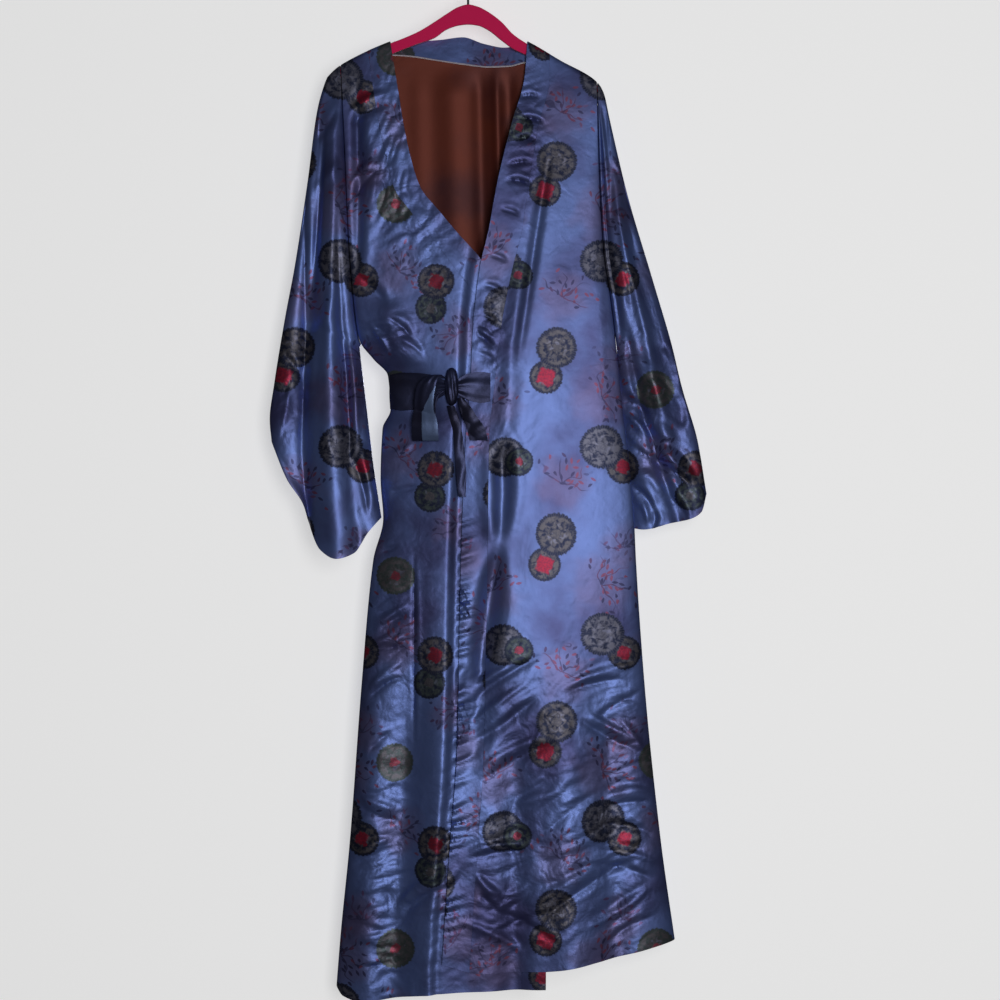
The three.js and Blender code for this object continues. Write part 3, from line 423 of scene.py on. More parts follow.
def shell(name, grid, thickness, outer, inner, faceOut=1, tubeFrom=None, normals=None, patches=None,
          **edges):
    # two copies of the grid, half the thickness out and half in along its normals, joined at the rims;
    # from row tubeFrom on, the last column is the first one again
    rows, columns = grid.shape[:2]
    if normals is None:
        normals = normalsOf(grid, **edges)
    uv = (grid[..., [0, 2]] * (1, -1)).reshape(-1, 2)
    sides = np.stack([grid + normals * thickness / 2, grid - normals * thickness / 2])
    if tubeFrom is not None:
        sides[:, tubeFrom:, -1] = sides[:, tubeFrom:, 0]
    points = sides.reshape(-1, 3)
    number = np.arange(rows * columns).reshape(rows, columns)
    other = number + rows * columns
    a, b, c, d = number[:-1, :-1], number[1:, :-1], number[1:, 1:], number[:-1, 1:]
    front = np.stack([a, b, c, d], -1).reshape(-1, 4)
    back = np.stack([a, d, c, b], -1).reshape(-1, 4) + rows * columns
    unjoined = rows if tubeFrom is None else tubeFrom + 1
    edgePairs = ((other[0], number[0]), (number[-1], other[-1]),
                 (number[:unjoined, 0], other[:unjoined, 0]),
                 (other[:unjoined, -1], number[:unjoined, -1]))
    rims = np.concatenate([np.stack([p[:-1], q[:-1], q[1:], p[1:]], -1) for p, q in edgePairs])
    quads = np.concatenate([front, back, rims])
    index = np.repeat([int(faceOut < 0), int(faceOut > 0), 0], [len(front), len(back), len(rims)])
    downEdges, acrossEdges = grid[1:, :-1] - grid[:-1, :-1], grid[:-1, 1:] - grid[:-1, :-1]
    area = np.linalg.norm(np.cross(downEdges, acrossEdges), axis=2).sum() / 1e6
    crumple = None
    if patches is not None:
        crumple = np.concatenate([crumpleAt(patches, grid[..., 0], -grid[..., 2]).ravel()] * 2)
    piece = meshOf(name, points, quads, np.concatenate([uv] * 2), index, [outer, inner], crumple)
    if tubeFrom is not None:
        remade(piece, lambda work: bmesh.ops.remove_doubles(work, verts=work.verts, dist=1e-7))
    print(f"{name}: {2 * len(quads)} triangles, {area:.3f} square metres of cloth")
    return piece


def remade(piece, change):
    # the piece with a change made to its mesh
    work = bmesh.new()
    work.from_mesh(piece.data)
    change(work)
    work.to_mesh(piece.data)
    work.free()
    return piece


def closedTube(name, rings, materials, poles=None):
    # a tube through the rings, each ring's last point being its first, with a fan of quads at both ends
    # round the poles, which are the end rings' middles unless they are given; all its faces face out
    ring = rings[:, :-1]
    count = ring.shape[1]
    number = np.arange(ring.shape[0] * count).reshape(-1, count)
    nextColumn = np.roll(number, -1, 1)
    quads = np.stack([number[:-1], number[1:], nextColumn[1:], nextColumn[:-1]], -1).reshape(-1, 4)
    points = np.concatenate([ring.reshape(-1, 3), ring[[0, -1]].mean(1) if poles is None else poles])
    first, last = (np.full(count // 2, len(points) - back) for back in (2, 1))
    start = np.stack([first, number[0, 0::2], number[0, 1::2], np.roll(number[0, 0::2], -1)], -1)
    end = np.stack([last, np.roll(number[-1, 0::2], -1), number[-1, 1::2], number[-1, 0::2]], -1)
    quads = np.concatenate([quads, start, end])
    piece = meshOf(name, points, quads, points[:, [0, 2]] * (1, -1), np.zeros(len(quads), int), materials)
    return remade(piece, lambda work: bmesh.ops.recalc_face_normals(work, faces=work.faces))


def place(piece, *nodes, slot):
    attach(piece, "root")
    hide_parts(*nodes)
    return piece


# Materials


def put(tree, kind, inputs=None, **settings):
    # a node with its settings, and its inputs set to values or linked to other nodes' outputs
    node = tree.nodes.new(kind)
    for name, value in settings.items():
        setattr(node, name, value)
    for key, value in (inputs or {}).items():
        socket = node.inputs[key]
        if isinstance(value, bpy.types.NodeSocket):
            tree.links.new(value, socket)
        elif socket.type == "RGBA" and len(value) == 3:
            socket.default_value = (*value, 1)
        else:
            socket.default_value = value
    return node


def maths(tree, operation, a, b=0.0, c=0.0):
    return put(tree, "ShaderNodeMath", {0: a, 1: b, 2: c}, operation=operation).outputs[0]


def vectors(tree, operation, a, b, c=(0, 0, 0)):
    return put(tree, "ShaderNodeVectorMath", {0: a, 1: b, 2: c}, operation=operation).outputs[0]


def length(tree, vector):
    return put(tree, "ShaderNodeVectorMath", {0: vector}, operation="LENGTH").outputs["Value"]


def noise(tree, place, scale, detail, distortion=0.0):
    inputs = {"Vector": place, "Scale": scale, "Detail": detail, "Distortion": distortion}
    return put(tree, "ShaderNodeTexNoise", inputs).outputs["Fac"]


def sums(tree):
    # the tree's product, sum, difference and product with a sum, each a function of its inputs
    kinds = ("MULTIPLY", "ADD", "SUBTRACT", "MULTIPLY_ADD")
    return [lambda *inputs, kind=kind: maths(tree, kind, *inputs) for kind in kinds]


def ramp(tree, value, low, high):
    # from 0 at low to 1 at high, softly
    node = put(tree, "ShaderNodeMapRange", {"Value": value, "From Min": low, "From Max": high},
               interpolation_type="SMOOTHSTEP")
    return node.outputs["Result"]


def mixed(tree, factor, a, b):
    # the colour that is a where the factor is 0 and b where it is 1
    return put(tree, "ShaderNodeMix", {0: factor, 6: a, 7: b}, data_type="RGBA").outputs[2]


def group(name, inputs, outputs):
    tree = bpy.data.node_groups.new(name, "ShaderNodeTree")
    kinds = {"float": "NodeSocketFloat", "colour": "NodeSocketColor", "vector": "NodeSocketVector"}
    for socket, kind in inputs:
        tree.interface.new_socket(socket, in_out="INPUT", socket_type=kinds[kind])
    for socket, kind in outputs:
        tree.interface.new_socket(socket, in_out="OUTPUT", socket_type=kinds[kind])
    return tree, tree.nodes.new("NodeGroupInput"), tree.nodes.new("NodeGroupOutput")


def use(tree, inner, inputs):
    return put(tree, "ShaderNodeGroup", inputs, node_tree=inner)


# Linear colours of the print
ink = {
    "body": (0.100, 0.093, 0.105), "rim": (0.018, 0.022, 0.048), "grey": (0.120, 0.120, 0.160),
    "green": (0.060, 0.076, 0.078), "red": (0.340, 0.022, 0.048), "pink": (0.260, 0.040, 0.066),
    "darkRed": (0.220, 0.016, 0.030), "coral": (0.200, 0.050, 0.085), "plum": (0.130, 0.040, 0.100),
    "pale": (0.19, 0.20, 0.31), "haze": (0.150, 0.115, 0.235), "darkLeaf": (0.030, 0.026, 0.075)}


def medallionGroup():
    # a round flower crest: a dark scalloped rim, a mottled body of petals and rings, and a squarish heart
    tree, given, result = group(
        "medallion", [("Place", "vector"), ("Mottle", "float"), ("Blots", "float"), ("Radius", "float"),
                      ("Heart", "float"), ("Rim", "colour"), ("Body", "colour"), ("Heart colour", "colour"),
                      ("Under", "colour")], [("Colour", "colour")])
    place, mottle, blots, radius, heartShare, rimColour, bodyColour, heartColour, under = given.outputs[:9]
    times, plus, minus, timesPlus = sums(tree)
    x, y, _ = put(tree, "ShaderNodeSeparateXYZ", {0: place}).outputs
    far = length(tree, place)
    angle = maths(tree, "ARCTAN2", y, x)
    share = maths(tree, "DIVIDE", far, radius)
    share = plus(share, timesPlus(mottle, 0.16, -0.08))
    scallop = maths(tree, "COSINE", times(angle, 27.0))
    edge = timesPlus(scallop, 0.016, share)
    petals = maths(tree, "COSINE", times(angle, 7.0))
    rings = maths(tree, "COSINE", times(share, 17.0))
    light = timesPlus(petals, 0.10, timesPlus(rings, 0.14, 0.5))
    light = plus(light, timesPlus(mottle, 1.0, -0.5))
    light = plus(light, timesPlus(blots, 2.6, -1.3))
    body = mixed(tree, ramp(tree, light, 0.05, 0.9), rimColour, bodyColour)
    pale = times(ramp(tree, blots, 0.54, 0.68), minus(1.0, ramp(tree, share, 0.35, 0.65)))
    body = mixed(tree, times(pale, 0.55), body, ink["pale"])
    aslant = plus(times(x, 0.94), times(y, 0.34))
    across = minus(times(y, 0.94), times(x, 0.34))
    squarish = maths(tree, "MAXIMUM", maths(tree, "ABSOLUTE", aslant), maths(tree, "ABSOLUTE", across))
    squarish = maths(tree, "DIVIDE", timesPlus(far, 0.35, times(squarish, 0.75)), radius)
    squarish = plus(squarish, timesPlus(blots, 0.40, -0.20))
    inHeart = minus(1.0, ramp(tree, maths(tree, "DIVIDE", squarish, heartShare), 0.8, 1.1))
    worn = mixed(tree, ramp(tree, mottle, 0.62, 0.40), heartColour, rimColour)
    heart = mixed(tree, 0.35, heartColour, worn)
    withHeart = mixed(tree, inHeart, body, heart)
    onRim = ramp(tree, share, 0.80, 0.90)
    dots = ramp(tree, maths(tree, "COSINE", times(angle, 54.0)), 0.1, 0.8)
    dotted = mixed(tree, times(dots, 0.30), rimColour, bodyColour)
    whole = mixed(tree, onRim, withHeart, dotted)
    inside = minus(1.0, ramp(tree, edge, 0.94, 1.03))
    tree.links.new(mixed(tree, inside, under, whole), result.inputs["Colour"])
    return tree


def sprayGroup():
    # a leafy spray: thin stems that fan out from its foot, and small pointed leaves strewn along them,
    # each leaf a cell of its own that points away from the foot with a turn of its own
    tree, given, result = group(
        "spray", [("Place", "vector"), ("Ragged", "float"), ("From cell", "vector"), ("Chance", "vector"),
                  ("Reach", "float"), ("Turn", "float"), ("Strength", "float"), ("Leaf", "colour"),
                  ("Under", "colour")], [("Colour", "colour")])
    place, ragged, fromCell, chance, reach, turn, strength, leafColour, under = given.outputs[:9]
    times, plus, minus, timesPlus = sums(tree)
    x, y, _ = put(tree, "ShaderNodeSeparateXYZ", {0: place}).outputs
    far = length(tree, place)
    angle = plus(maths(tree, "ARCTAN2", y, x), turn)
    stems = 7.0
    bend = timesPlus(ragged, 1.6, -0.8)
    slot = plus(times(angle, stems / (2 * math.pi)), bend)
    aside = minus(maths(tree, "FRACT", slot), 0.5)
    aside = maths(tree, "ABSOLUTE", times(times(aside, 2 * math.pi / stems), far))
    stem = minus(1.0, ramp(tree, aside, 0.0006, 0.0014))
    fan = ramp(tree, maths(tree, "COSINE", angle), -0.45, -0.2)
    stem = times(stem, fan)

    centre = vectors(tree, "SUBTRACT", place, fromCell)
    chanceX, chanceY, chanceZ = put(tree, "ShaderNodeSeparateXYZ", {0: chance}).outputs
    rootX, rootY, _ = put(tree, "ShaderNodeSeparateXYZ", {0: centre}).outputs
    offX, offY, _ = put(tree, "ShaderNodeSeparateXYZ", {0: fromCell}).outputs
    away = maths(tree, "ARCTAN2", rootY, rootX)
    away = plus(away, timesPlus(chanceX, 2.0, -1.0))
    cosine, sine = maths(tree, "COSINE", away), maths(tree, "SINE", away)
    along = timesPlus(offX, cosine, times(offY, sine))
    across = minus(times(offY, cosine), times(offX, sine))
    leafLong, leafWide = 0.0056, 0.0024
    along = maths(tree, "DIVIDE", along, leafLong)
    shape = minus(1.0, times(along, along))
    shape = minus(shape, maths(tree, "DIVIDE", maths(tree, "ABSOLUTE", across), leafWide))
    leaf = ramp(tree, shape, 0.0, 0.35)
    rootFar = length(tree, centre)
    wave = maths(tree, "COSINE", timesPlus(away, 3.0, turn))
    share = maths(tree, "DIVIDE", rootFar, reach)
    share = plus(share, timesPlus(wave, 0.15, timesPlus(chanceY, 1.0, -0.2)))
    grown = minus(1.0, ramp(tree, share, 0.88, 0.94))
    stemShare = maths(tree, "DIVIDE", far, reach)
    stemShare = plus(stemShare, timesPlus(ragged, 0.9, -0.45))
    within = minus(1.0, ramp(tree, stemShare, 0.62, 0.85))
    facing = plus(maths(tree, "ARCTAN2", rootY, rootX), turn)
    grown = times(grown, ramp(tree, maths(tree, "COSINE", facing), -0.35, -0.3))
    mask = maths(tree, "MAXIMUM", times(leaf, grown), times(stem, times(within, 0.85)))
    amount = times(mask, strength)
    haze = times(minus(1.0, ramp(tree, stemShare, 0.35, 1.05)), 0.50)
    ground = mixed(tree, haze, under, ink["haze"])
    darkLeaf = maths(tree, "MAXIMUM", ramp(tree, chanceZ, 0.45, 0.60), times(stem, 0.6))
    grownColour = mixed(tree, darkLeaf, leafColour, ink["darkLeaf"])
    tree.links.new(mixed(tree, amount, ground, grownColour), result.inputs["Colour"])
    return tree


def crumpleAt(chart, x, down):
    # how crumpled the cloth is there, from 0 to 1
    total = np.zeros(np.broadcast(x, down).shape)
    for patch in eachRow(chart):
        total = np.maximum(total, min(1, patch["height"] / 2) * np.exp(-0.8 * awayFrom(patch, x, down)))
    return total


def clothReliefGroup():
    # the fine weave, and the small wrinkles that a hung satin keeps, as heights
    tree, given, result = group("cloth relief", [("Place", "vector"), ("Wrinkle", "float")],
                                [("Height", "float")])
    place = given.outputs["Place"]
    times, _, _, timesPlus = sums(tree)
    warped = noise(tree, place, 34.0, 2.0, 0.6)
    longer = vectors(tree, "MULTIPLY", place, (1.0, 0.45, 1.0))
    fine = noise(tree, longer, 85.0, 3.0)
    weave = noise(tree, place, 1800.0, 1.0)
    total = timesPlus(warped, 2.6, times(fine, 0.8))
    total = times(total, given.outputs["Wrinkle"])
    tree.links.new(timesPlus(weave, 0.05, total), result.inputs["Height"])
    return tree


medallion = medallionGroup()
spray = sprayGroup()
clothRelief = clothReliefGroup()

# The print's repeat, 390 mm across and 278 mm down: offsets from its first crest, mm
crestChart = (
    # x, down, radius, heart's share, rim, body, heart
    (-17, 44, 25, 0.55, "rim", "body", "red"), (0, 0, 31, 0.22, "rim", "body", "body"),
    (100, 178, 26, 0.42, "rim", "body", "red"), (68, 150, 33, 0.24, "rim", "grey", "grey"),
    (-78, 164, 31, 0.30, "rim", "grey", "grey"), (-56, 172, 22, 0.30, "rim", "green", "pink"),
    (-188, 222, 24, 0.30, "rim", "green", "body"), (-180, 182, 28, 0.42, "rim", "body", "darkRed"),
    (-240, 63, 29, 0.26, "green", "body", "pink"))
sprayChart = (
    # x, down, reach, turn, strength, leaf
    (68, 76, 56, 0.3, 0.8, "coral"), (8, 205, 50, 1.1, 0.75, "coral"), (-95, 84, 52, 2.0, 0.75, "coral"),
    (-235, 165, 46, 0.8, 0.7, "coral"), (-148, 262, 44, 2.6, 0.7, "plum"), (100, 20, 40, 1.7, 0.6, "plum"))
repeat = {"across": 0.390, "down": 0.278, "startX": 0.132, "startDown": 0.5795}


def printed(tree, shiftDown, base):
    # the whole repeat, wrapped round each crest and spray in turn
    where = put(tree, "ShaderNodeUVMap", uv_map="clothMetres").outputs[0]
    sway = put(tree, "ShaderNodeTexNoise", {"Vector": where, "Scale": 6.0},
               noise_dimensions="3D").outputs["Color"]
    sway = vectors(tree, "SUBTRACT", sway, (0.5, 0.5, 0.5))
    where = vectors(tree, "MULTIPLY_ADD", sway, (0.012, 0.012, 0.0), where)
    half = (repeat["across"] / 2, repeat["down"] / 2, 1.0)
    low = (-half[0], -half[1], -1.0)
    flat = vectors(tree, "MULTIPLY", where, (1.0, 1.0, 0.0))
    mottle = noise(tree, flat, 330.0, 2.0)
    blots = noise(tree, flat, 125.0, 2.0, 0.7)
    ragged = noise(tree, flat, 34.0, 1.0)
    cell = put(tree, "ShaderNodeTexVoronoi", {"Vector": flat, "Scale": 112.0}, feature="F1",
               voronoi_dimensions="2D")
    fromCell = vectors(tree, "SUBTRACT", flat, cell.outputs["Position"])

    def around(x, down):
        centre = (repeat["startX"] + x / 1000, repeat["startDown"] + shiftDown + down / 1000, 0.0)
        off = vectors(tree, "SUBTRACT", where, centre)
        return vectors(tree, "WRAP", off, half, low)

    colour = base
    for x, down, reach, turn, strength, leaf in sprayChart:
        colour = use(tree, spray, {"Place": around(x, down), "Ragged": ragged, "From cell": fromCell,
                                   "Chance": cell.outputs["Color"], "Reach": reach / 1000, "Turn": turn,
                                   "Strength": strength, "Leaf": ink[leaf],
                                   "Under": colour}).outputs["Colour"]
    for x, down, radius, heart, rim, body, core in crestChart:
        colour = use(tree, medallion, {"Place": around(x, down), "Mottle": mottle, "Blots": blots,
                                       "Radius": radius / 1000, "Heart": heart, "Rim": ink[rim],
                                       "Body": ink[body], "Heart colour": ink[core],
                                       "Under": colour}).outputs["Colour"]
    return colour


def newMaterial(name):
    material = bpy.data.materials.new(name)
    material.use_nodes = True
    return material, material.node_tree, material.node_tree.nodes["Principled BSDF"]


def clothMaterial(name, base, deep, rough, wrinkle, gloss, tint=(0.55, 0.62, 1.0), printShift=None):
    # clouded cloth with its relief, and with the print on it where a shift of the print is given
    material, tree, shader = newMaterial(name)
    place = put(tree, "ShaderNodeTexCoord").outputs["Object"]
    cloud = noise(tree, place, 7.0, 4.0)
    colour = mixed(tree, ramp(tree, cloud, 0.30, 0.60), deep, base)
    if printShift is not None:
        colour = printed(tree, printShift, colour)
    crumple = put(tree, "ShaderNodeAttribute", attribute_name="crumple").outputs["Fac"]
    amount = maths(tree, "MULTIPLY", maths(tree, "MULTIPLY_ADD", crumple, 0.75, 0.25), wrinkle)
    height = use(tree, clothRelief, {"Place": place, "Wrinkle": amount}).outputs["Height"]
    bump = put(tree, "ShaderNodeBump", {"Strength": 1.0, "Distance": 0.0012, "Height": height})
    tree.links.new(colour, shader.inputs["Base Color"])
    tree.links.new(bump.outputs["Normal"], shader.inputs["Normal"])
    shader.inputs["Roughness"].default_value = rough
    shader.inputs["IOR"].default_value = 1.55
    shader.inputs["Specular Tint"].default_value = (*tint, 1)
    shader.inputs["Metallic"].default_value = gloss
    shader.inputs["Specular IOR Level"].default_value = 0.3 if printShift is None else 0.5
    return material


blue, brownBlue = (0.128, 0.186, 0.450), (0.062, 0.064, 0.175)
satin = clothMaterial("satin", blue, brownBlue, 0.44, 1.0, 0.65, printShift=0.0)
bandSatin = clothMaterial("band satin", blue, brownBlue, 0.44, 1.0, 0.65, printShift=0.055)
plainSatin = clothMaterial("tie satin", (0.034, 0.040, 0.095), (0.016, 0.015, 0.030), 0.36, 0.6, 0.55)
paleSatin = clothMaterial("tie satin, pale side", (0.16, 0.23, 0.42), (0.10, 0.14, 0.26), 0.38, 0.6, 0.5)
lining = clothMaterial("lining", (0.105, 0.017, 0.008), (0.040, 0.008, 0.012), 0.46, 0.12, 0.4,
                       tint=(1.0, 0.75, 0.7))


def simpleMaterial(name, colour, rough, metal=0.0, sheen=0.0, grain=0.0, scale=900.0):
    material, tree, shader = newMaterial(name)
    # an even colour with fine grains, which stand out as bumps too
    place = put(tree, "ShaderNodeTexCoord").outputs["Object"]
    grains = noise(tree, place, scale, 3.0)
    darker = tuple(c * 0.82 for c in colour)
    tree.links.new(mixed(tree, ramp(tree, grains, 0.3, 0.7), darker, colour), shader.inputs["Base Color"])
    bump = put(tree, "ShaderNodeBump", {"Strength": grain, "Distance": 0.0004, "Height": grains})
    tree.links.new(bump.outputs["Normal"], shader.inputs["Normal"])
    shader.inputs["Roughness"].default_value = rough
    shader.inputs["Metallic"].default_value = metal
    shader.inputs["Sheen Weight"].default_value = sheen
    return material


flock = simpleMaterial("flock", (0.92, 0.010, 0.130), 0.95, sheen=0.25, grain=0.8, scale=1300.0)
chrome = simpleMaterial("chrome", (0.62, 0.63, 0.65), 0.16, metal=1.0, grain=0.05)
# the neck cord's pale grey is a painted highlight, the bright line along the neck's seam
pipingPaintedHighlight = simpleMaterial("pipingPaintedHighlight", (0.50, 0.46, 0.55), 0.5, grain=0.3)
print("materials made")

# The panels


def steps(count):
    # rows down a panel, close together where the cloth turns over the shoulder
    turn = [0, 0.0004, 0.0008, 0.0016, 0.0024, 0.0045, 0.007, 0.011]
    return np.concatenate([turn, np.linspace(0.018, 1, count)])


def spread(count, crowdLeft, crowdRight):
    # columns across, closer together towards an edge that turns round a side seam
    t = np.linspace(0, 1, count)
    if crowdLeft and crowdRight:
        crowded = (1 - np.cos(math.pi * t)) / 2
    elif crowdLeft:
        crowded = 1 - np.cos(math.pi * t / 2)
    elif crowdRight:
        crowded = np.sin(math.pi * t / 2)
    else:
        crowded = t
    even = 0.35
    return even * t + (1 - even) * crowded


def panelGrid(rows, columns, leftX, rightX, topAt, hemAt, depth, over=(), rolled=True):
    # x runs from the left edge to the right one and down from the top line to the hem line
    ends = []
    someDown, rounds = np.array(600.0), 12
    for edge in (leftX, rightX):
        x = np.full(len(rows), float(edge(someDown)))
        for _ in range(rounds):
            down = lerp(topAt(x), hemAt(x), rows)
            x = edge(down)
        ends.append(x)
    x = ends[0][:, None] + (ends[1] - ends[0])[:, None] * columns[None, :]
    down = lerp(topAt(x), hemAt(x), rows[:, None])
    grid = np.stack([x, depth(x, down), -down], -1)
    if over:
        top = topAt(np.array([0.0]))
        behind = []
        for below in over:
            x = lerp(leftX(top), rightX(top), columns)
            down = topAt(x) + below
            behind.append(np.stack([x, backDepth(x, down), -down], -1))
        grid[0, :, 1] = 0
        grid = np.concatenate([np.stack(behind), grid])
    elif rolled:
        grid[0, :, 1] = 0
    return grid


def hemOf(chart):
    return lambda x: lookup(chart, "x", x, "down")


def bandEdge(chart, column, shift):
    return lambda down: lookup(chart, "down", down, column) + shift


def sideEdge(side):
    return lambda down: seamAt(down, side)


# Half the gap between two shells along a seam
seamHalf = 0.12
pieces = {}

# The size and area of every sheet's flat cut stand beside its rows and columns, in metres
frontLeft = {"rows": 380, "columns": 110, "flat": (0.36, 1.43), "area": 0.29}
grid = panelGrid(steps(frontLeft["rows"]), spread(frontLeft["columns"], False, True),
                 bandEdge(overBand, "seam", seamHalf), sideEdge("right"),
                 shoulderAt, hemOf(overHem), overDepth)
pieces["front_left"] = shell("leftFront", grid, cloth["thickness"], satin, lining, patches=frontCrinkles,
                             rolled=True, squareLast=True)

frontRight = {"rows": 400, "columns": 100, "flat": (0.34, 1.47), "area": 0.30}
grid = panelGrid(steps(frontRight["rows"]), spread(frontRight["columns"], True, False),
                 sideEdge("left"), bandEdge(underBand, "seam", -seamHalf),
                 shoulderAt, hemOf(underHem), underDepth)
pieces["front_right"] = shell("rightFront", grid, cloth["thickness"], satin, lining, patches=frontCrinkles,
                              rolled=True, squareFirst=True)

# How far below the shoulder, behind it, the bands' two extra rows lie
bandOver = (2.8, 1)
bandRight = {"rows": 400, "columns": 16, "flat": (0.05, 1.52), "area": 0.056}
grid = panelGrid(steps(bandRight["rows"]), spread(bandRight["columns"], False, False),
                 bandEdge(underBand, "seam", seamHalf), bandEdge(underBand, "free", 0),
                 shoulderAt, hemOf(underHem), underDepth, over=bandOver)
pieces["collar_right"] = shell("rightBand", grid, cloth["bandThickness"], bandSatin, lining,
                               patches=frontCrinkles)

bandLeft = {"rows": 400, "columns": 16, "flat": (0.05, 1.48), "area": 0.058}
grid = panelGrid(steps(bandLeft["rows"]), spread(bandLeft["columns"], False, False),
                 bandEdge(overBand, "free", 0), bandEdge(overBand, "seam", -seamHalf),
                 shoulderAt, hemOf(overHem), overDepth, over=bandOver)
pieces["collar_left"] = shell("leftBand", grid, cloth["bandThickness"], bandSatin, bandSatin,
                              patches=frontCrinkles)


def backTop(x):
    # the shoulder line, cut down to the collar's seam across the neck
    seam = lookup(neckBand, "seam", x, "seamDown") + 1.5
    outside = np.maximum(np.maximum(neckBand["seam"][0] - x, x - neckBand["seam"][-1]), 0)
    return lerp(seam, shoulderAt(x), smooth(0.8, 3.8, outside))


# The back has extra columns where the neck's seam meets the shoulders
back = {"rows": 330, "columns": 130, "flat": (0.62, 1.42), "area": 0.60,
        "nearNeck": (0.0945, 0.098, 0.1018, 0.1055, 0.109, 0.8135, 0.8165, 0.82, 0.824, 0.828)}
columns = np.sort(np.concatenate([spread(back["columns"], True, True), back["nearNeck"]]))
grid = panelGrid(steps(back["rows"]), columns, sideEdge("left"), sideEdge("right"), backTop, hemOf(backHem),
                 backDepth, rolled=False)
pieces["back"] = shell("backPanel", grid, cloth["thickness"], satin, lining, faceOut=-1,
                       patches=backCrinkles, squareFirst=True, squareLast=True)

backLining = {"rows": 150, "columns": 110, "left": -132.0, "right": 112.0, "foot": 530.0, "belowSeam": 2,
              "belowShoulder": 34, "inward": 4.4, "folds": table(
                  "x width height",
                  (-22, 26, 4.2), (18, 12, -3.6), (43, 7, 3.0), (62, 10, -3.0), (-74, 14, 1.2)),
              "flat": (0.26, 0.38), "area": 0.092}


def liningDepth(x, down):
    # in front of the back by half of both cloths and a gap, with bells for the loose upright folds
    aslant = x - 0.02 * (down - 200)
    folds = sum(fold["height"] * np.exp(-((aslant - fold["x"]) / fold["width"]) ** 2)
                for fold in eachRow(backLining["folds"]))
    inward = (cloth["thickness"] + cloth["liningThickness"]) / 2 + backLining["inward"]
    return bodyDepth(x, down, 1, False) - inward - folds * smooth(150, 200, down)


def liningTop(x):
    return np.maximum(backTop(x) + backLining["belowSeam"], shoulderAt(x) + backLining["belowShoulder"])


def level(value):
    # a line that stays at one value all along
    return lambda at: at * 0 + value


grid = panelGrid(np.linspace(0, 1, backLining["rows"]), np.linspace(0, 1, backLining["columns"]),
                 level(backLining["left"]), level(backLining["right"]),
                 liningTop, level(backLining["foot"]), liningDepth, rolled=False)
pieces["lining_back"] = shell("backLining", grid, cloth["liningThickness"], lining, lining)

neckCollar = {"columns": 150, "rows": 24, "clearOfBar": 3.7, "wave": 0.5, "waveLength": 9.0,
              "flat": (0.03, 0.29), "area": 0.0075}


def collarGrid():
    # the standing collar: from its seam with the back up to its free edge, leaning away from the neck,
    # never nearer than the hanger's bar, and faintly waved
    first, last = neckBand["seam"][[0, -1]]
    at = np.linspace(first, last, neckCollar["columns"])[None, :]
    up = np.linspace(1, 0, neckCollar["rows"])[:, None]
    read = columnsAt(neckBand, "seam", at)
    x = lerp(at, read["free"], up)
    down = lerp(read["seamDown"] - 0.3, read["freeDown"], up)
    stand = bodyDepth(at, read["seamDown"], 1, False) + read["lean"] * up
    clear = neckCollar["clearOfBar"] + cloth["bandThickness"] / 2
    wave = neckCollar["wave"] * np.sin(at / neckCollar["waveLength"]) * up
    wave = wave * smooth(0, 20, at - first) * smooth(0, 20, last - at)
    return np.stack([x, np.maximum(stand, clear) + wave, -down], -1)


pieces["collar_back"] = shell("neckCollar", collarGrid()[:, ::-1], cloth["bandThickness"], bandSatin,
                              bandSatin)
print("panels made")

# Sleeves

stationColumns = "along inner innerDown outer outerDown centre bulge"
foldColumns = "start end at atEnd width depth"
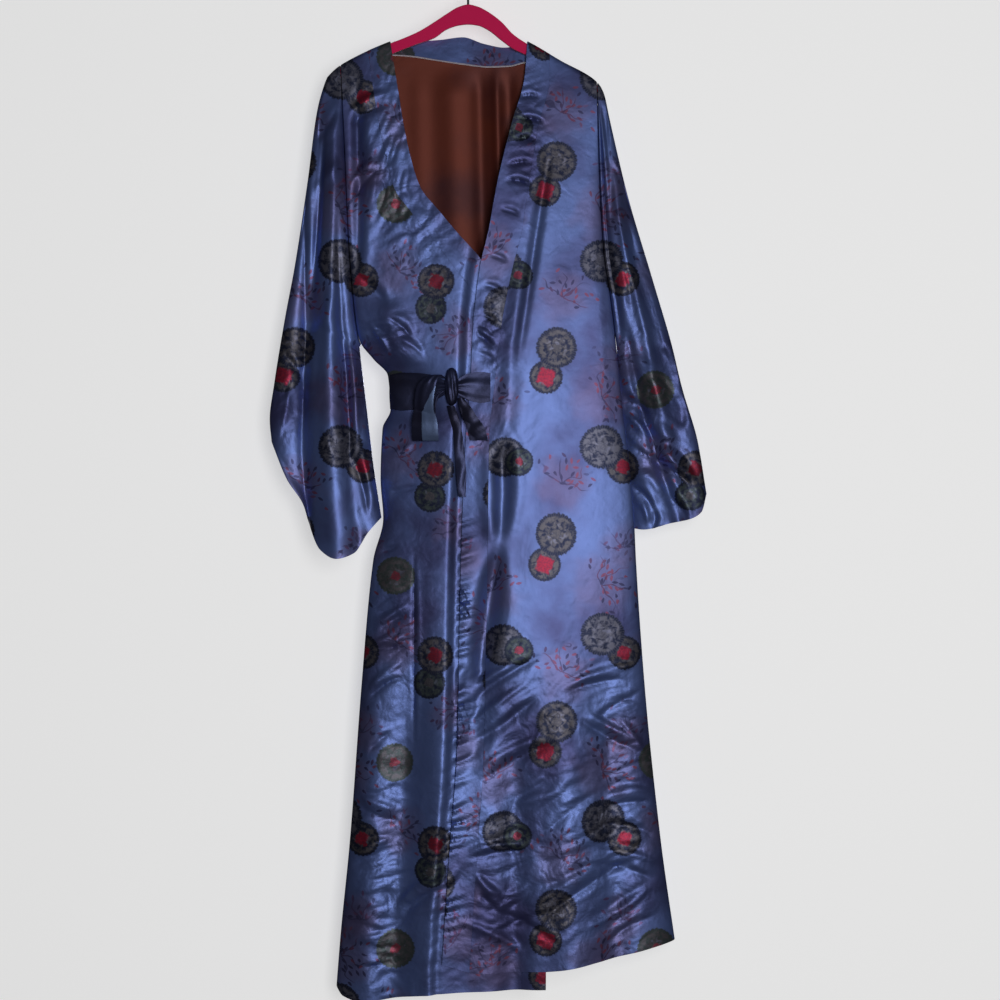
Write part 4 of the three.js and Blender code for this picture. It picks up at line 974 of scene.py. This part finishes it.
# Each sleeve: how far its long ridge and trough stand out in front and behind, then its lines and folds
sleeveRight = {
    "lobes": -6.0, "backLobes": 3.0, "flat": (0.30, 0.70), "area": 0.155,
    "stations": table(
        stationColumns,
        (0, -194, 154.5, -211, 171, 0, 0), (0.03, -192, 161, -214, 178, 0, 3),
        (0.12, -190, 212, -226, 220, 0, 9),
        (0.3, -182, 340, -241, 330, 0, 13), (0.48, -171, 492, -260, 455, 0, 15),
        (0.6, -164, 578, -275, 535, -1, 16),
        (0.74, -153, 668, -290, 628, -8, 19), (0.88, -142, 756, -297, 685, -17, 22),
        (1, -130, 834, -294, 720, -20, 22)),
    "cuffFront": table(
        "across x down",
        (0, -130, 834), (0.14, -150, 858), (0.28, -170, 887), (0.42, -195, 895), (0.56, -219, 882),
        (0.68, -236, 846),
        (0.76, -245, 815), (0.88, -270, 777), (1, -294, 720)),
    "cuffBack": table("across x down", (0, -130, 834), (0.3, -172, 850), (0.65, -236, 818), (1, -294, 720)),
    "folds": table(
        foldColumns,
        (0.1, 1.15, 0.62, 0.7, 0.09, 12), (0.35, 1.2, 0.38, 0.42, 0.1, -8), (0.3, 1.1, 0.2, 0.22, 0.07, 7)),
    "creases": table(
        creaseColumns,
        (-178, 560, -168, 700, 4, 8, -5), (-190, 560, -176, 760, 4, 7, 4.5),
        (-160, 720, -146, 800, 3, 9, -4.5),
        (-172, 740, -150, 832, 4, 7, 4.5), (-246, 300, -251, 760, 3, 7, 4.5),
        (-219, 700, -203, 736, 2, 5, -3),
        (-280, 582, -248, 632, 3, 6, 3.5), (-196, 220, -232, 270, 4, 7, 3),
        (-192, 300, -236, 345, 4, 7, -2.5),
        (-206, 470, -240, 560, 6, 9, 3), (-268, 640, -284, 712, 3, 6, -3)),
    "backCreases": table(
        creaseColumns,
        (-186, 300, -236, 380, 8, 9, 4.5), (-190, 320, -232, 400, 8, 7, -3),
        (-180, 470, -250, 560, 9, 9, 5),
        (-172, 560, -262, 640, 9, 9, -4), (-176, 640, -262, 700, 8, 8, 4.5),
        (-168, 700, -240, 780, 8, 8, -3.5)),
    "crinkles": table(
        crinklePatches,
        (-175, 640, 40, 140, 0.8, 80, 40, 12), (-225, 560, 50, 260, 0.4, 85, 45, 14),
        (-270, 650, 30, 70, 1.2, 60, 30, 10))}
sleeveLeft = {
    "lobes": -2.0, "backLobes": -1.0, "flat": (0.28, 0.67), "area": 0.115,
    "stations": table(
        stationColumns,
        (0, 193.1, 179.5, 201, 190, 0, 0), (0.03, 193.6, 184, 204, 197, 0, 3),
        (0.12, 194.6, 232, 213, 238, 0, 8),
        (0.3, 200, 350, 239, 348, 1, 11), (0.48, 212.5, 486, 278, 480, -2, 13),
        (0.6, 223.5, 578, 304, 570, -14, 14),
        (0.7, 226.5, 650, 322, 640, 10, 15), (0.82, 232, 732, 345, 718, 12, 16),
        (1, 240, 848, 358.5, 798, 12, 16)),
    "cuffFront": table(
        "across x down",
        (0, 240, 848), (0.2, 264, 852), (0.5, 302, 843), (0.75, 334, 836), (0.9, 351, 825),
        (1, 358.5, 798)),
    "cuffBack": table("across x down", (0, 240, 846), (0.5, 300, 836), (0.9, 349, 820), (1, 358.5, 798)),
    "folds": table(
        foldColumns,
        (0.02, 0.62, 0.14, 0.08, 0.07, 7), (0.5, 1.1, 0.12, 0.72, 0.08, 9),
        (0.25, 0.95, 0.5, 0.62, 0.1, -6)),
    "creases": table(
        creaseColumns,
        (277, 570, 313, 645, 5, 11, 5.5), (311, 643, 320, 704, 4, 10, 5), (258, 618, 297, 675, 6, 10, -4.5),
        (228, 650, 270, 690, 4, 10, 6), (236, 678, 276, 723, 4, 4.5, -4), (240, 728, 337, 789, 6, 6.5, 5),
        (272, 723, 342, 783, 6, 9, -4.5), (290, 748, 312, 770, 2, 4, 2.5),
        (245, 765, 300, 800, 5, 12, -4.5),
        (244, 784, 280, 822, 4, 5, 4.5), (280, 820, 277, 850, 3, 5, 4.5), (258, 808, 270, 845, 3, 5, -3.5),
        (199, 206, 214, 420, 5, 8, 3.5), (215, 250, 235, 560, 6, 9, -2.8), (212, 300, 246, 380, 5, 7, 3),
        (300, 800, 330, 838, 4, 6, 3.5)),
    "backCreases": table(
        creaseColumns,
        (200, 320, 246, 400, -8, 8, 4.5), (204, 340, 250, 424, -8, 7, -3), (216, 480, 292, 560, -9, 9, 5),
        (226, 560, 306, 640, -9, 9, -4), (232, 660, 326, 720, -8, 8, 4.5),
        (238, 730, 336, 780, -8, 8, -3.5)),
    "crinkles": table(
        crinklePatches,
        (270, 690, 60, 110, 1.8, -40, 40, 12), (245, 520, 45, 160, 1.2, -70, 45, 13),
        (310, 760, 40, 60, 1.4, -35, 30, 10))}


def sleeveGrid(chart, side):
    # each row goes from the front armhole edge round the outer fold to the back one, and below the
    # armpit the two edges are one seam, so the wall is a tube down to the cuff; a half ellipse in front and
    # one behind stand out from the line between the edges, with the folds and creases cut into them
    armpit, upperShare, count, around = 0.6, 0.58, 135, 150
    turn = [0, 0.0008, 0.0016, 0.003, 0.005, 0.009, 0.014, 0.025, 0.04]
    upper = int(count * upperShare)
    lower = count - upper
    rows = np.concatenate([turn, np.linspace(0.04, armpit, upper)[1:], np.linspace(armpit, 1, lower)[1:]])
    joined = len(turn) + upper - 2
    along = rows[:, None]
    u = np.linspace(0, 1, around + 1)[None, :]
    turned = 1 - np.abs(2 * u - 1)
    face = np.where(u <= 0.5, -1, 1)
    across = (1 - np.cos(math.pi * turned)) / 2
    stations = chart["stations"]
    read = columnsAt(stations, "along", along)
    opened = (np.arange(len(rows)) < joined)[:, None]
    name = "left" if side < 0 else "right"
    innerX = np.where(opened, seamAt(read["innerDown"], name) + side * (cloth["thickness"] + 0.6),
                      read["inner"])
    end = {key: values[-1] for key, values in stations.items()}
    sag = smooth(0.55, 1, along) ** 2

    def cuff(column):
        before, behind = (lookup(chart[edge], "across", across, column) for edge in ("cuffFront",
                "cuffBack"))
        return np.where(face < 0, before, behind)

    x = lerp(innerX, read["outer"], across)
    x = x + sag * (cuff("x") - lerp(end["inner"], end["outer"], across))
    down = lerp(read["innerDown"], read["outerDown"], across)
    down = down + sag * (cuff("down") - lerp(end["innerDown"], end["outerDown"], across))
    before, behind = (lookup(seamDepths, "down", read["innerDown"], name + end) for end in ("Front",
            "Back"))
    seamY = np.where(face < 0, before, behind)
    inner = np.where(opened, seamY, read["centre"])
    roundness = np.sqrt(4 * across * (1 - across))
    fold = 0
    for row in eachRow(chart["folds"]):
        t = (along - row["start"]) / (row["end"] - row["start"])
        off = (across - lerp(row["at"], row["atEnd"], t)) / row["width"]
        fold = fold + row["depth"] * smooth(0, 0.3, t) * smooth(0, 0.1, 1 - t) * np.exp(-off * off)
    deep = lerp(inner, read["centre"] * 0.4, across) + face * (read["bulge"] - fold * 0.9) * roundness
    most = lookup(halfDepths, "below", down - shoulderAt(x), "half")
    near = smooth(30, 90, down - shoulderAt(x))
    y = lerp(np.clip(deep, -most, most), deep, near)
    detail = np.where(face < 0, creasesAt(chart["creases"], x, down),
                      creasesAt(chart["backCreases"], x, down))
    detail = detail + crinklesAt(chart["crinkles"], x, down)
    lobes = sum(sign * np.exp(-(((across - middle) / reach) ** 2))
                for sign, middle, reach in ((1, 0.3, 0.17), (-1, 0.76, 0.13)))
    lobes = lobes * smooth(0.08, 0.35, along) * smooth(0, 0.06, 1 - along)
    detail = detail + lobes * np.where(face < 0, chart["lobes"], chart["backLobes"])
    calm = smooth(0.0, 0.14, across * (1 - across) * 4) * smooth(0.03, 0.1, along)
    y = y - face * detail * calm
    grid = np.stack([x, y, -down], -1)
    if side < 0:
        grid = grid[:, ::-1]
    return grid, joined


def sleeve(name, chart, side):
    grid, joined = sleeveGrid(chart, side)
    normals = normalsOf(grid, squareFirst=True, squareLast=True)
    normals[joined:] = normalsOf(grid, tube=True)[joined:]
    return shell(name, grid, cloth["thickness"], satin, lining, tubeFrom=joined, normals=normals,
                 patches=chart["crinkles"])


pieces["sleeve_right"] = sleeve("rightSleeve", sleeveRight, -1)
pieces["sleeve_left"] = sleeve("leftSleeve", sleeveLeft, 1)
print("sleeves made")

# The ties and their bow

tieColumns = "x top bottom lift"
sideTie = {"pleats": 1.5, "flat": (0.055, 0.09), "area": 0.004, "line": table(
    tieColumns,
    (-114, 619, 671, 1.8), (-98, 616, 674, 1.8), (-76, 617, 672, 2), (-56, 620, 664, 3),
    (-32.2, 630, 650, 4.6))}
frontTie = {"pleats": 1.2, "flat": (0.05, 0.06), "area": 0.0021, "line": table(
    tieColumns,
    (-13.2, 627, 651, 4.2), (2, 619, 659, 2.5), (20, 617, 663, 1), (34, 619, 661, 0.5))}
endColumns = "along left right down lift"
shortEnd = {"twist": 0.5, "flat": (0.03, 0.085), "area": 0.0015, "line": table(
    endColumns,
    (0, -13.6, -6, 656, 6.6), (0.18, -12, 4, 668, 6.5), (0.4, -7, 14, 684, 5.5), (0.7, 0, 25, 700, 5),
    (1, 4, 31, 719, 4))}
longEnd = {"twist": -0.3, "flat": (0.017, 0.14), "area": 0.0017, "line": table(
    endColumns,
    (0, -29, -19, 667.4, 6.6), (0.15, -26, -13, 686, 2.5), (0.33, -21, -8, 710, 1),
    (0.8, -16, -2, 778, 0.4), (1, -13, -3, 803, 0.4))}
bowLoop = {"rows": 150, "columns": 32, "flat": (0.04, 0.16), "area": 0.0055, "line": table(
    endColumns,
    (0, -36.5, -32.6, 626, 7.8), (1, -52, -37, 622, 14), (2, -66, -43, 634, 20), (3, -74, -45, 660, 20),
    (4, -79, -43, 690, 16), (5, -80, -42, 713, 11), (6, -80, -42, 719, 7.5), (7, -78, -44, 712, 4.5),
    (8, -72, -46, 692, 5), (9, -62, -44, 668, 9), (10, -52, -40, 652, 10), (11, -40, -32.6, 645, 8.6))}
knot = {"x": -23.8, "down": 639.0, "halfWidth": 13, "halfHeight": 28, "halfDepth": 10, "standOff": 8.9}


def smoothDepth(x, down):
    return bodyDepth(x, down, -1, False)


def lifted(x, down, lift):
    # a point of the front, moved out along its own normal; the small creases are left out of it
    step = 6.0
    slopeX = (smoothDepth(x + step, down) - smoothDepth(x - step, down)) / (2 * step)
    slopeDown = (smoothDepth(x, down + step) - smoothDepth(x, down - step)) / (2 * step)
    normal = unit(np.stack([slopeX, slopeX * 0 - 1, -slopeDown], -1))
    off = (cloth["thickness"] + cloth["bandThickness"]) / 2 + 0.3 + lift
    return np.stack([x, smoothDepth(x, down), -down], -1) + normal * off[..., None]


def flatTie(name, tie):
    # a strap along the front: rows from its top edge to its bottom edge, puffed between them, with pleats
    # that die away from the knot
    line = tie["line"]
    x = np.linspace(line["x"][0], line["x"][-1], 90)[None, :]
    v = np.linspace(0, 1, 44)[:, None]
    read = columnsAt(line, "x", x)
    near = np.exp(-np.abs(x - knot["x"]) / 26)
    pleat = tie["pleats"] * near * np.cos(2 * math.pi * (2.6 * v + 0.05)) + 0.4 * np.sin(x / 7 + 5 * v)
    puff = 2.2 * np.sin(math.pi * v) ** 2 + pleat * np.sin(math.pi * v)
    down = lerp(read["top"], read["bottom"], v)
    return shell(name, lifted(x + 0 * v, down, read["lift"] + puff), cloth["thickness"], plainSatin,
                 plainSatin)


def hangingTie(name, tie):
    # a narrow end that hangs down the front, puffed and twisted between its left and right edges
    along = np.linspace(0, 1, 90)[:, None]
    u = np.linspace(0, 1, 22)[None, :]
    read = columnsAt(tie["line"], "along", along)
    puff = 1.2 * np.sin(math.pi * u) + tie["twist"] * along * (u - 0.5) * 6
    puff = puff + 0.7 * np.sin(along * 17 + 3 * u)
    grid = lifted(lerp(read["left"], read["right"], u), read["down"] + 0 * u,
                  read["lift"] + np.maximum(puff, -0.3))
    return shell(name, grid, cloth["thickness"], plainSatin, plainSatin)


pieces["tie_side"] = flatTie("sideTie", sideTie)
pieces["tie_front"] = flatTie("frontTie", frontTie)
pieces["tie_end_short"] = hangingTie("shortTieEnd", shortEnd)
pieces["tie_end_long"] = hangingTie("longTieEnd", longEnd)

# the loop: columns from its left edge to its right one down its line, pleated near the knot
line = bowLoop["line"]
last = line["along"][-1]
along = np.linspace(0, last, bowLoop["rows"])[:, None]
u = np.linspace(0, 1, bowLoop["columns"])[None, :]
read = columnsAt(line, "along", along)
pleat = np.exp(-np.minimum(along, last - along) / 2.2) * np.cos(2 * math.pi * 2.2 * u)
puff = pleat + 1.4 * np.sin(math.pi * u)
grid = lifted(lerp(read["left"], read["right"], u), read["down"] + 0 * u, read["lift"] + puff)
pieces["tie_loop"] = shell("bowLoop", grid, cloth["thickness"], plainSatin, paleSatin)
# the satin's pale side shows on the faces beyond a slanting line, in the loop's middle stretch
faces = pieces["tie_loop"].data.polygons
columnOf = np.tile(np.arange(u.size - 1), (along.size - 1, 1))
rowOf = np.tile(np.arange(along.size - 1)[:, None], (1, u.size - 1)) * last / (along.size - 1)
paleFrom = 0.36 + 0.55 * np.clip((3.8 - rowOf) / 1.5, 0, 1)
palePart = (columnOf > paleFrom * u.size) & (rowOf > 2.2) & (rowOf < 6.0)
index = np.zeros(len(faces), np.int32)
faces.foreach_get("material_index", index)
index[: palePart.size] = palePart.ravel()
index[palePart.size: 2 * palePart.size] = 0
faces.foreach_set("material_index", index)

# the knot: a bead squeezed at its waist, with the wound cloth's ridges running round it aslant
theta = np.linspace(0, 2 * math.pi, 73)[None, :]
phi = np.linspace(0.02, math.pi - 0.02, 56)[:, None]
up = np.cos(phi)
squeeze = 1 - 0.25 * (1 - up * up)
ridge = 1 + 0.05 * np.cos(9 * theta + 3.5 * up) * np.sin(phi) + 0.035 * np.cos(4 * theta - 6 * up)
knotX = knot["x"] + np.cos(theta) * np.sin(phi) * knot["halfWidth"] * squeeze * ridge
middle = float(smoothDepth(np.array(knot["x"]), np.array(knot["down"]))) - knot["standOff"]
knotY = middle + np.sin(theta) * np.sin(phi) * knot["halfDepth"] * squeeze * ridge
knotZ = up * knot["halfHeight"] - knot["down"] + 0 * theta
poles = [[knot["x"], middle, sign * knot["halfHeight"] - knot["down"]] for sign in (1, -1)]
pieces["tie_knot"] = closedTube("tieKnot", np.stack([knotX, knotY, knotZ], -1), [plainSatin],
                                np.array(poles))
print("ties made")

# The hanger and its hook


def barGrid():
    # a rounded rectangle carried along the bar, closed to a thin edge at both tips
    halfThick, squareness, tipShare = 3.0, 0.32, 0.35
    x = np.concatenate([[-204.5], np.linspace(-204, 195, 240), [195.5]])
    angle = np.linspace(0, 2 * math.pi, 49)
    top, bottom = lookup(hangerBar, "x", x, "top"), lookup(hangerBar, "x", x, "bottom")
    half = (bottom - top) / 2

    def square(wave):
        return np.sign(wave) * np.abs(wave) ** squareness

    taper = np.ones(len(x))
    taper[[0, -1]] = tipShare
    y = halfThick * square(np.cos(angle))[None, :] * taper[:, None]
    z = -((top + bottom) / 2)[:, None] + half[:, None] * square(np.sin(angle))[None, :] * taper[:, None]
    return np.stack([x[:, None] + 0 * y, y, z], -1)


pieces["hanger"] = closedTube("hangerBar", barGrid(), [flock])

# the hook: a round wire along an arc from its free end over the rail, then down its stem
hookRadius, wireRadius = 20, 1.75
middleRadius = hookRadius + wireRadius
turns = np.radians(np.arange(205, -36, -3.0))
arc = np.stack([middleRadius * np.cos(turns), -hookRadius + middleRadius * np.sin(turns)], -1)
stem = np.array([[9, -39.5], [1.2, -46], [0, -54], [0, -75.7]])
path = np.concatenate([arc, stem])
travel = np.concatenate([[0], np.cumsum(np.linalg.norm(np.diff(path, axis=0), axis=1))])
wire = {"travel": travel, "x": path[:, 0], "z": path[:, 1]}
at = np.linspace(0, travel[-1], 220)
x, z = lookup(wire, "travel", at, "x"), lookup(wire, "travel", at, "z")
tangent = unit(np.stack([np.gradient(x), np.gradient(z)], -1))
angle = np.linspace(0, 2 * math.pi, 25)[None, :]
tip = np.clip(at / wireRadius, 0, 1)
radius = wireRadius * np.sqrt(np.clip(1 - (1 - tip) ** 2, 0.05, 1))[:, None]
rings = np.stack([x[:, None] - tangent[:, 1:] * radius * np.cos(angle), radius * np.sin(angle),
                  z[:, None] + tangent[:, :1] * radius * np.cos(angle)], -1)
pieces["hook"] = closedTube("hangerHook", rings, [chrome])

# the piping: a round cord just below the neck's seam, on the lining's side of it; its pale colour is a
# painted highlight along the seam
neckCord = {"short": 2, "below": 0.6, "inward": 1.3, "radius": 0.9}
at = np.linspace(neckBand["seam"][0] + neckCord["short"], neckBand["seam"][-1] - neckCord["short"], 160)
seamDown = lookup(neckBand, "seam", at, "seamDown") + neckCord["below"]
centre = np.stack([at, bodyDepth(at, seamDown, 1, False) - neckCord["inward"], -seamDown], -1)
ahead = unit(np.gradient(centre, axis=0))
side = unit(np.cross(ahead, [0.0, 1.0, 0.0]))
over = np.cross(side, ahead)
angle = np.linspace(0, 2 * math.pi, 13)[None, :, None]
around = side[:, None] * np.cos(angle) + over[:, None] * np.sin(angle)
pipingPiece = closedTube("neckPipingPaintedHighlight", centre[:, None] + neckCord["radius"] * around, [pipingPaintedHighlight])
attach(pipingPiece, "root")

slots = {"hanger": "flock", "hook": "wire", "lining_back": "lining",
         **dict.fromkeys(("collar_back", "collar_right", "collar_left"), "band_satin")}
for node, piece in pieces.items():
    place(piece, node, slot=slots.get(node, "satin"))
print("hanger and hook made")

# Stage, light and camera


def stageMaterial(name, colour, glow):
    # glowing paint, seen only from its front
    material, tree, shader = newMaterial(name)
    tree.nodes.remove(shader)
    diffuse = put(tree, "ShaderNodeBsdfDiffuse", {"Color": colour})
    emission = put(tree, "ShaderNodeEmission", {"Color": (1.0, 1.0, 1.0), "Strength": glow})
    both = put(tree, "ShaderNodeAddShader", {0: diffuse.outputs[0], 1: emission.outputs[0]})
    clear = put(tree, "ShaderNodeBsdfTransparent")
    facing = put(tree, "ShaderNodeNewGeometry")
    choose = put(tree, "ShaderNodeMixShader", {0: facing.outputs["Backfacing"], 1: both.outputs[0],
                                               2: clear.outputs[0]})
    tree.links.new(choose.outputs[0], tree.nodes["Material Output"].inputs["Surface"])
    return material


def sheetOf(name, corners, material):
    mesh = bpy.data.meshes.new(name)
    mesh.from_pydata(corners, [], [(0, 1, 2, 3)])
    mesh.materials.append(material)
    piece = bpy.data.objects.new(name, mesh)
    scene.collection.objects.link(piece)
    return piece


# the wall stands just behind the robe and the floor lies below its hem; neither one lights or shades it
half, wallY, floorZ, wallTop = 4, 0.066, -1.75, 2.5
stageCorners = {
    "backWall": [(-half, wallY, floorZ), (half, wallY, floorZ), (half, wallY, wallTop),
                 (-half, wallY, wallTop)],
    "floor": [(-half, -half, floorZ), (half, -half, floorZ), (half, wallY, floorZ), (-half, wallY, floorZ)]}
for name, corners in stageCorners.items():
    piece = sheetOf(name, corners, stageMaterial(name + " paint", (0.55, 0.55, 0.55), 0.56))
    piece.visible_shadow = False
    piece.visible_diffuse = False
    piece.visible_glossy = False


def areaLight(name, place, target, size, power, tall=None):
    # a square light turned to its target, or a standing one where tall is given
    light = bpy.data.lights.new(name, "AREA")
    light.energy, light.size = power, size
    if tall:
        light.shape, light.size_y = "RECTANGLE", tall
    item = bpy.data.objects.new(name, light)
    item.location = place
    item.rotation_euler = (Vector(target) - Vector(place)).to_track_quat("-Z", "Y").to_euler()
    scene.collection.objects.link(item)
    return item


areaLight("keyLight", (0.66, -3.4, -0.70), (0.08, 0.0, -0.76), 0.9, 43, tall=1.6)
areaLight("sideLight", (-3.6, -5.2, -0.2), (0.0, 0.0, -0.8), 1.3, 3)
areaLight("fillLight", (3.6, -3.8, -0.6), (0.0, 0.0, -0.8), 2.0, 5)
areaLight("backLight", (0.4, 4.4, -0.4), (0.0, 0.0, -0.8), 1.4, 110)
world = bpy.data.worlds.new("studio")
world.use_nodes = True
background = world.node_tree.nodes["Background"].inputs
background["Color"].default_value = (1, 1, 1, 1)
background["Strength"].default_value = 0.04
scene.world = world

camera = bpy.data.cameras.new("camera")
camera.lens, camera.sensor_width = 72, 36
camera.clip_start, camera.clip_end = 0.05, 50
cameraItem = bpy.data.objects.new("camera", camera)
cameraItem.location = (0.048, -3.01, -0.8075)
cameraItem.rotation_euler = (math.pi / 2, 0, 0)
scene.collection.objects.link(cameraItem)
scene.camera = cameraItem

print("scene ready")
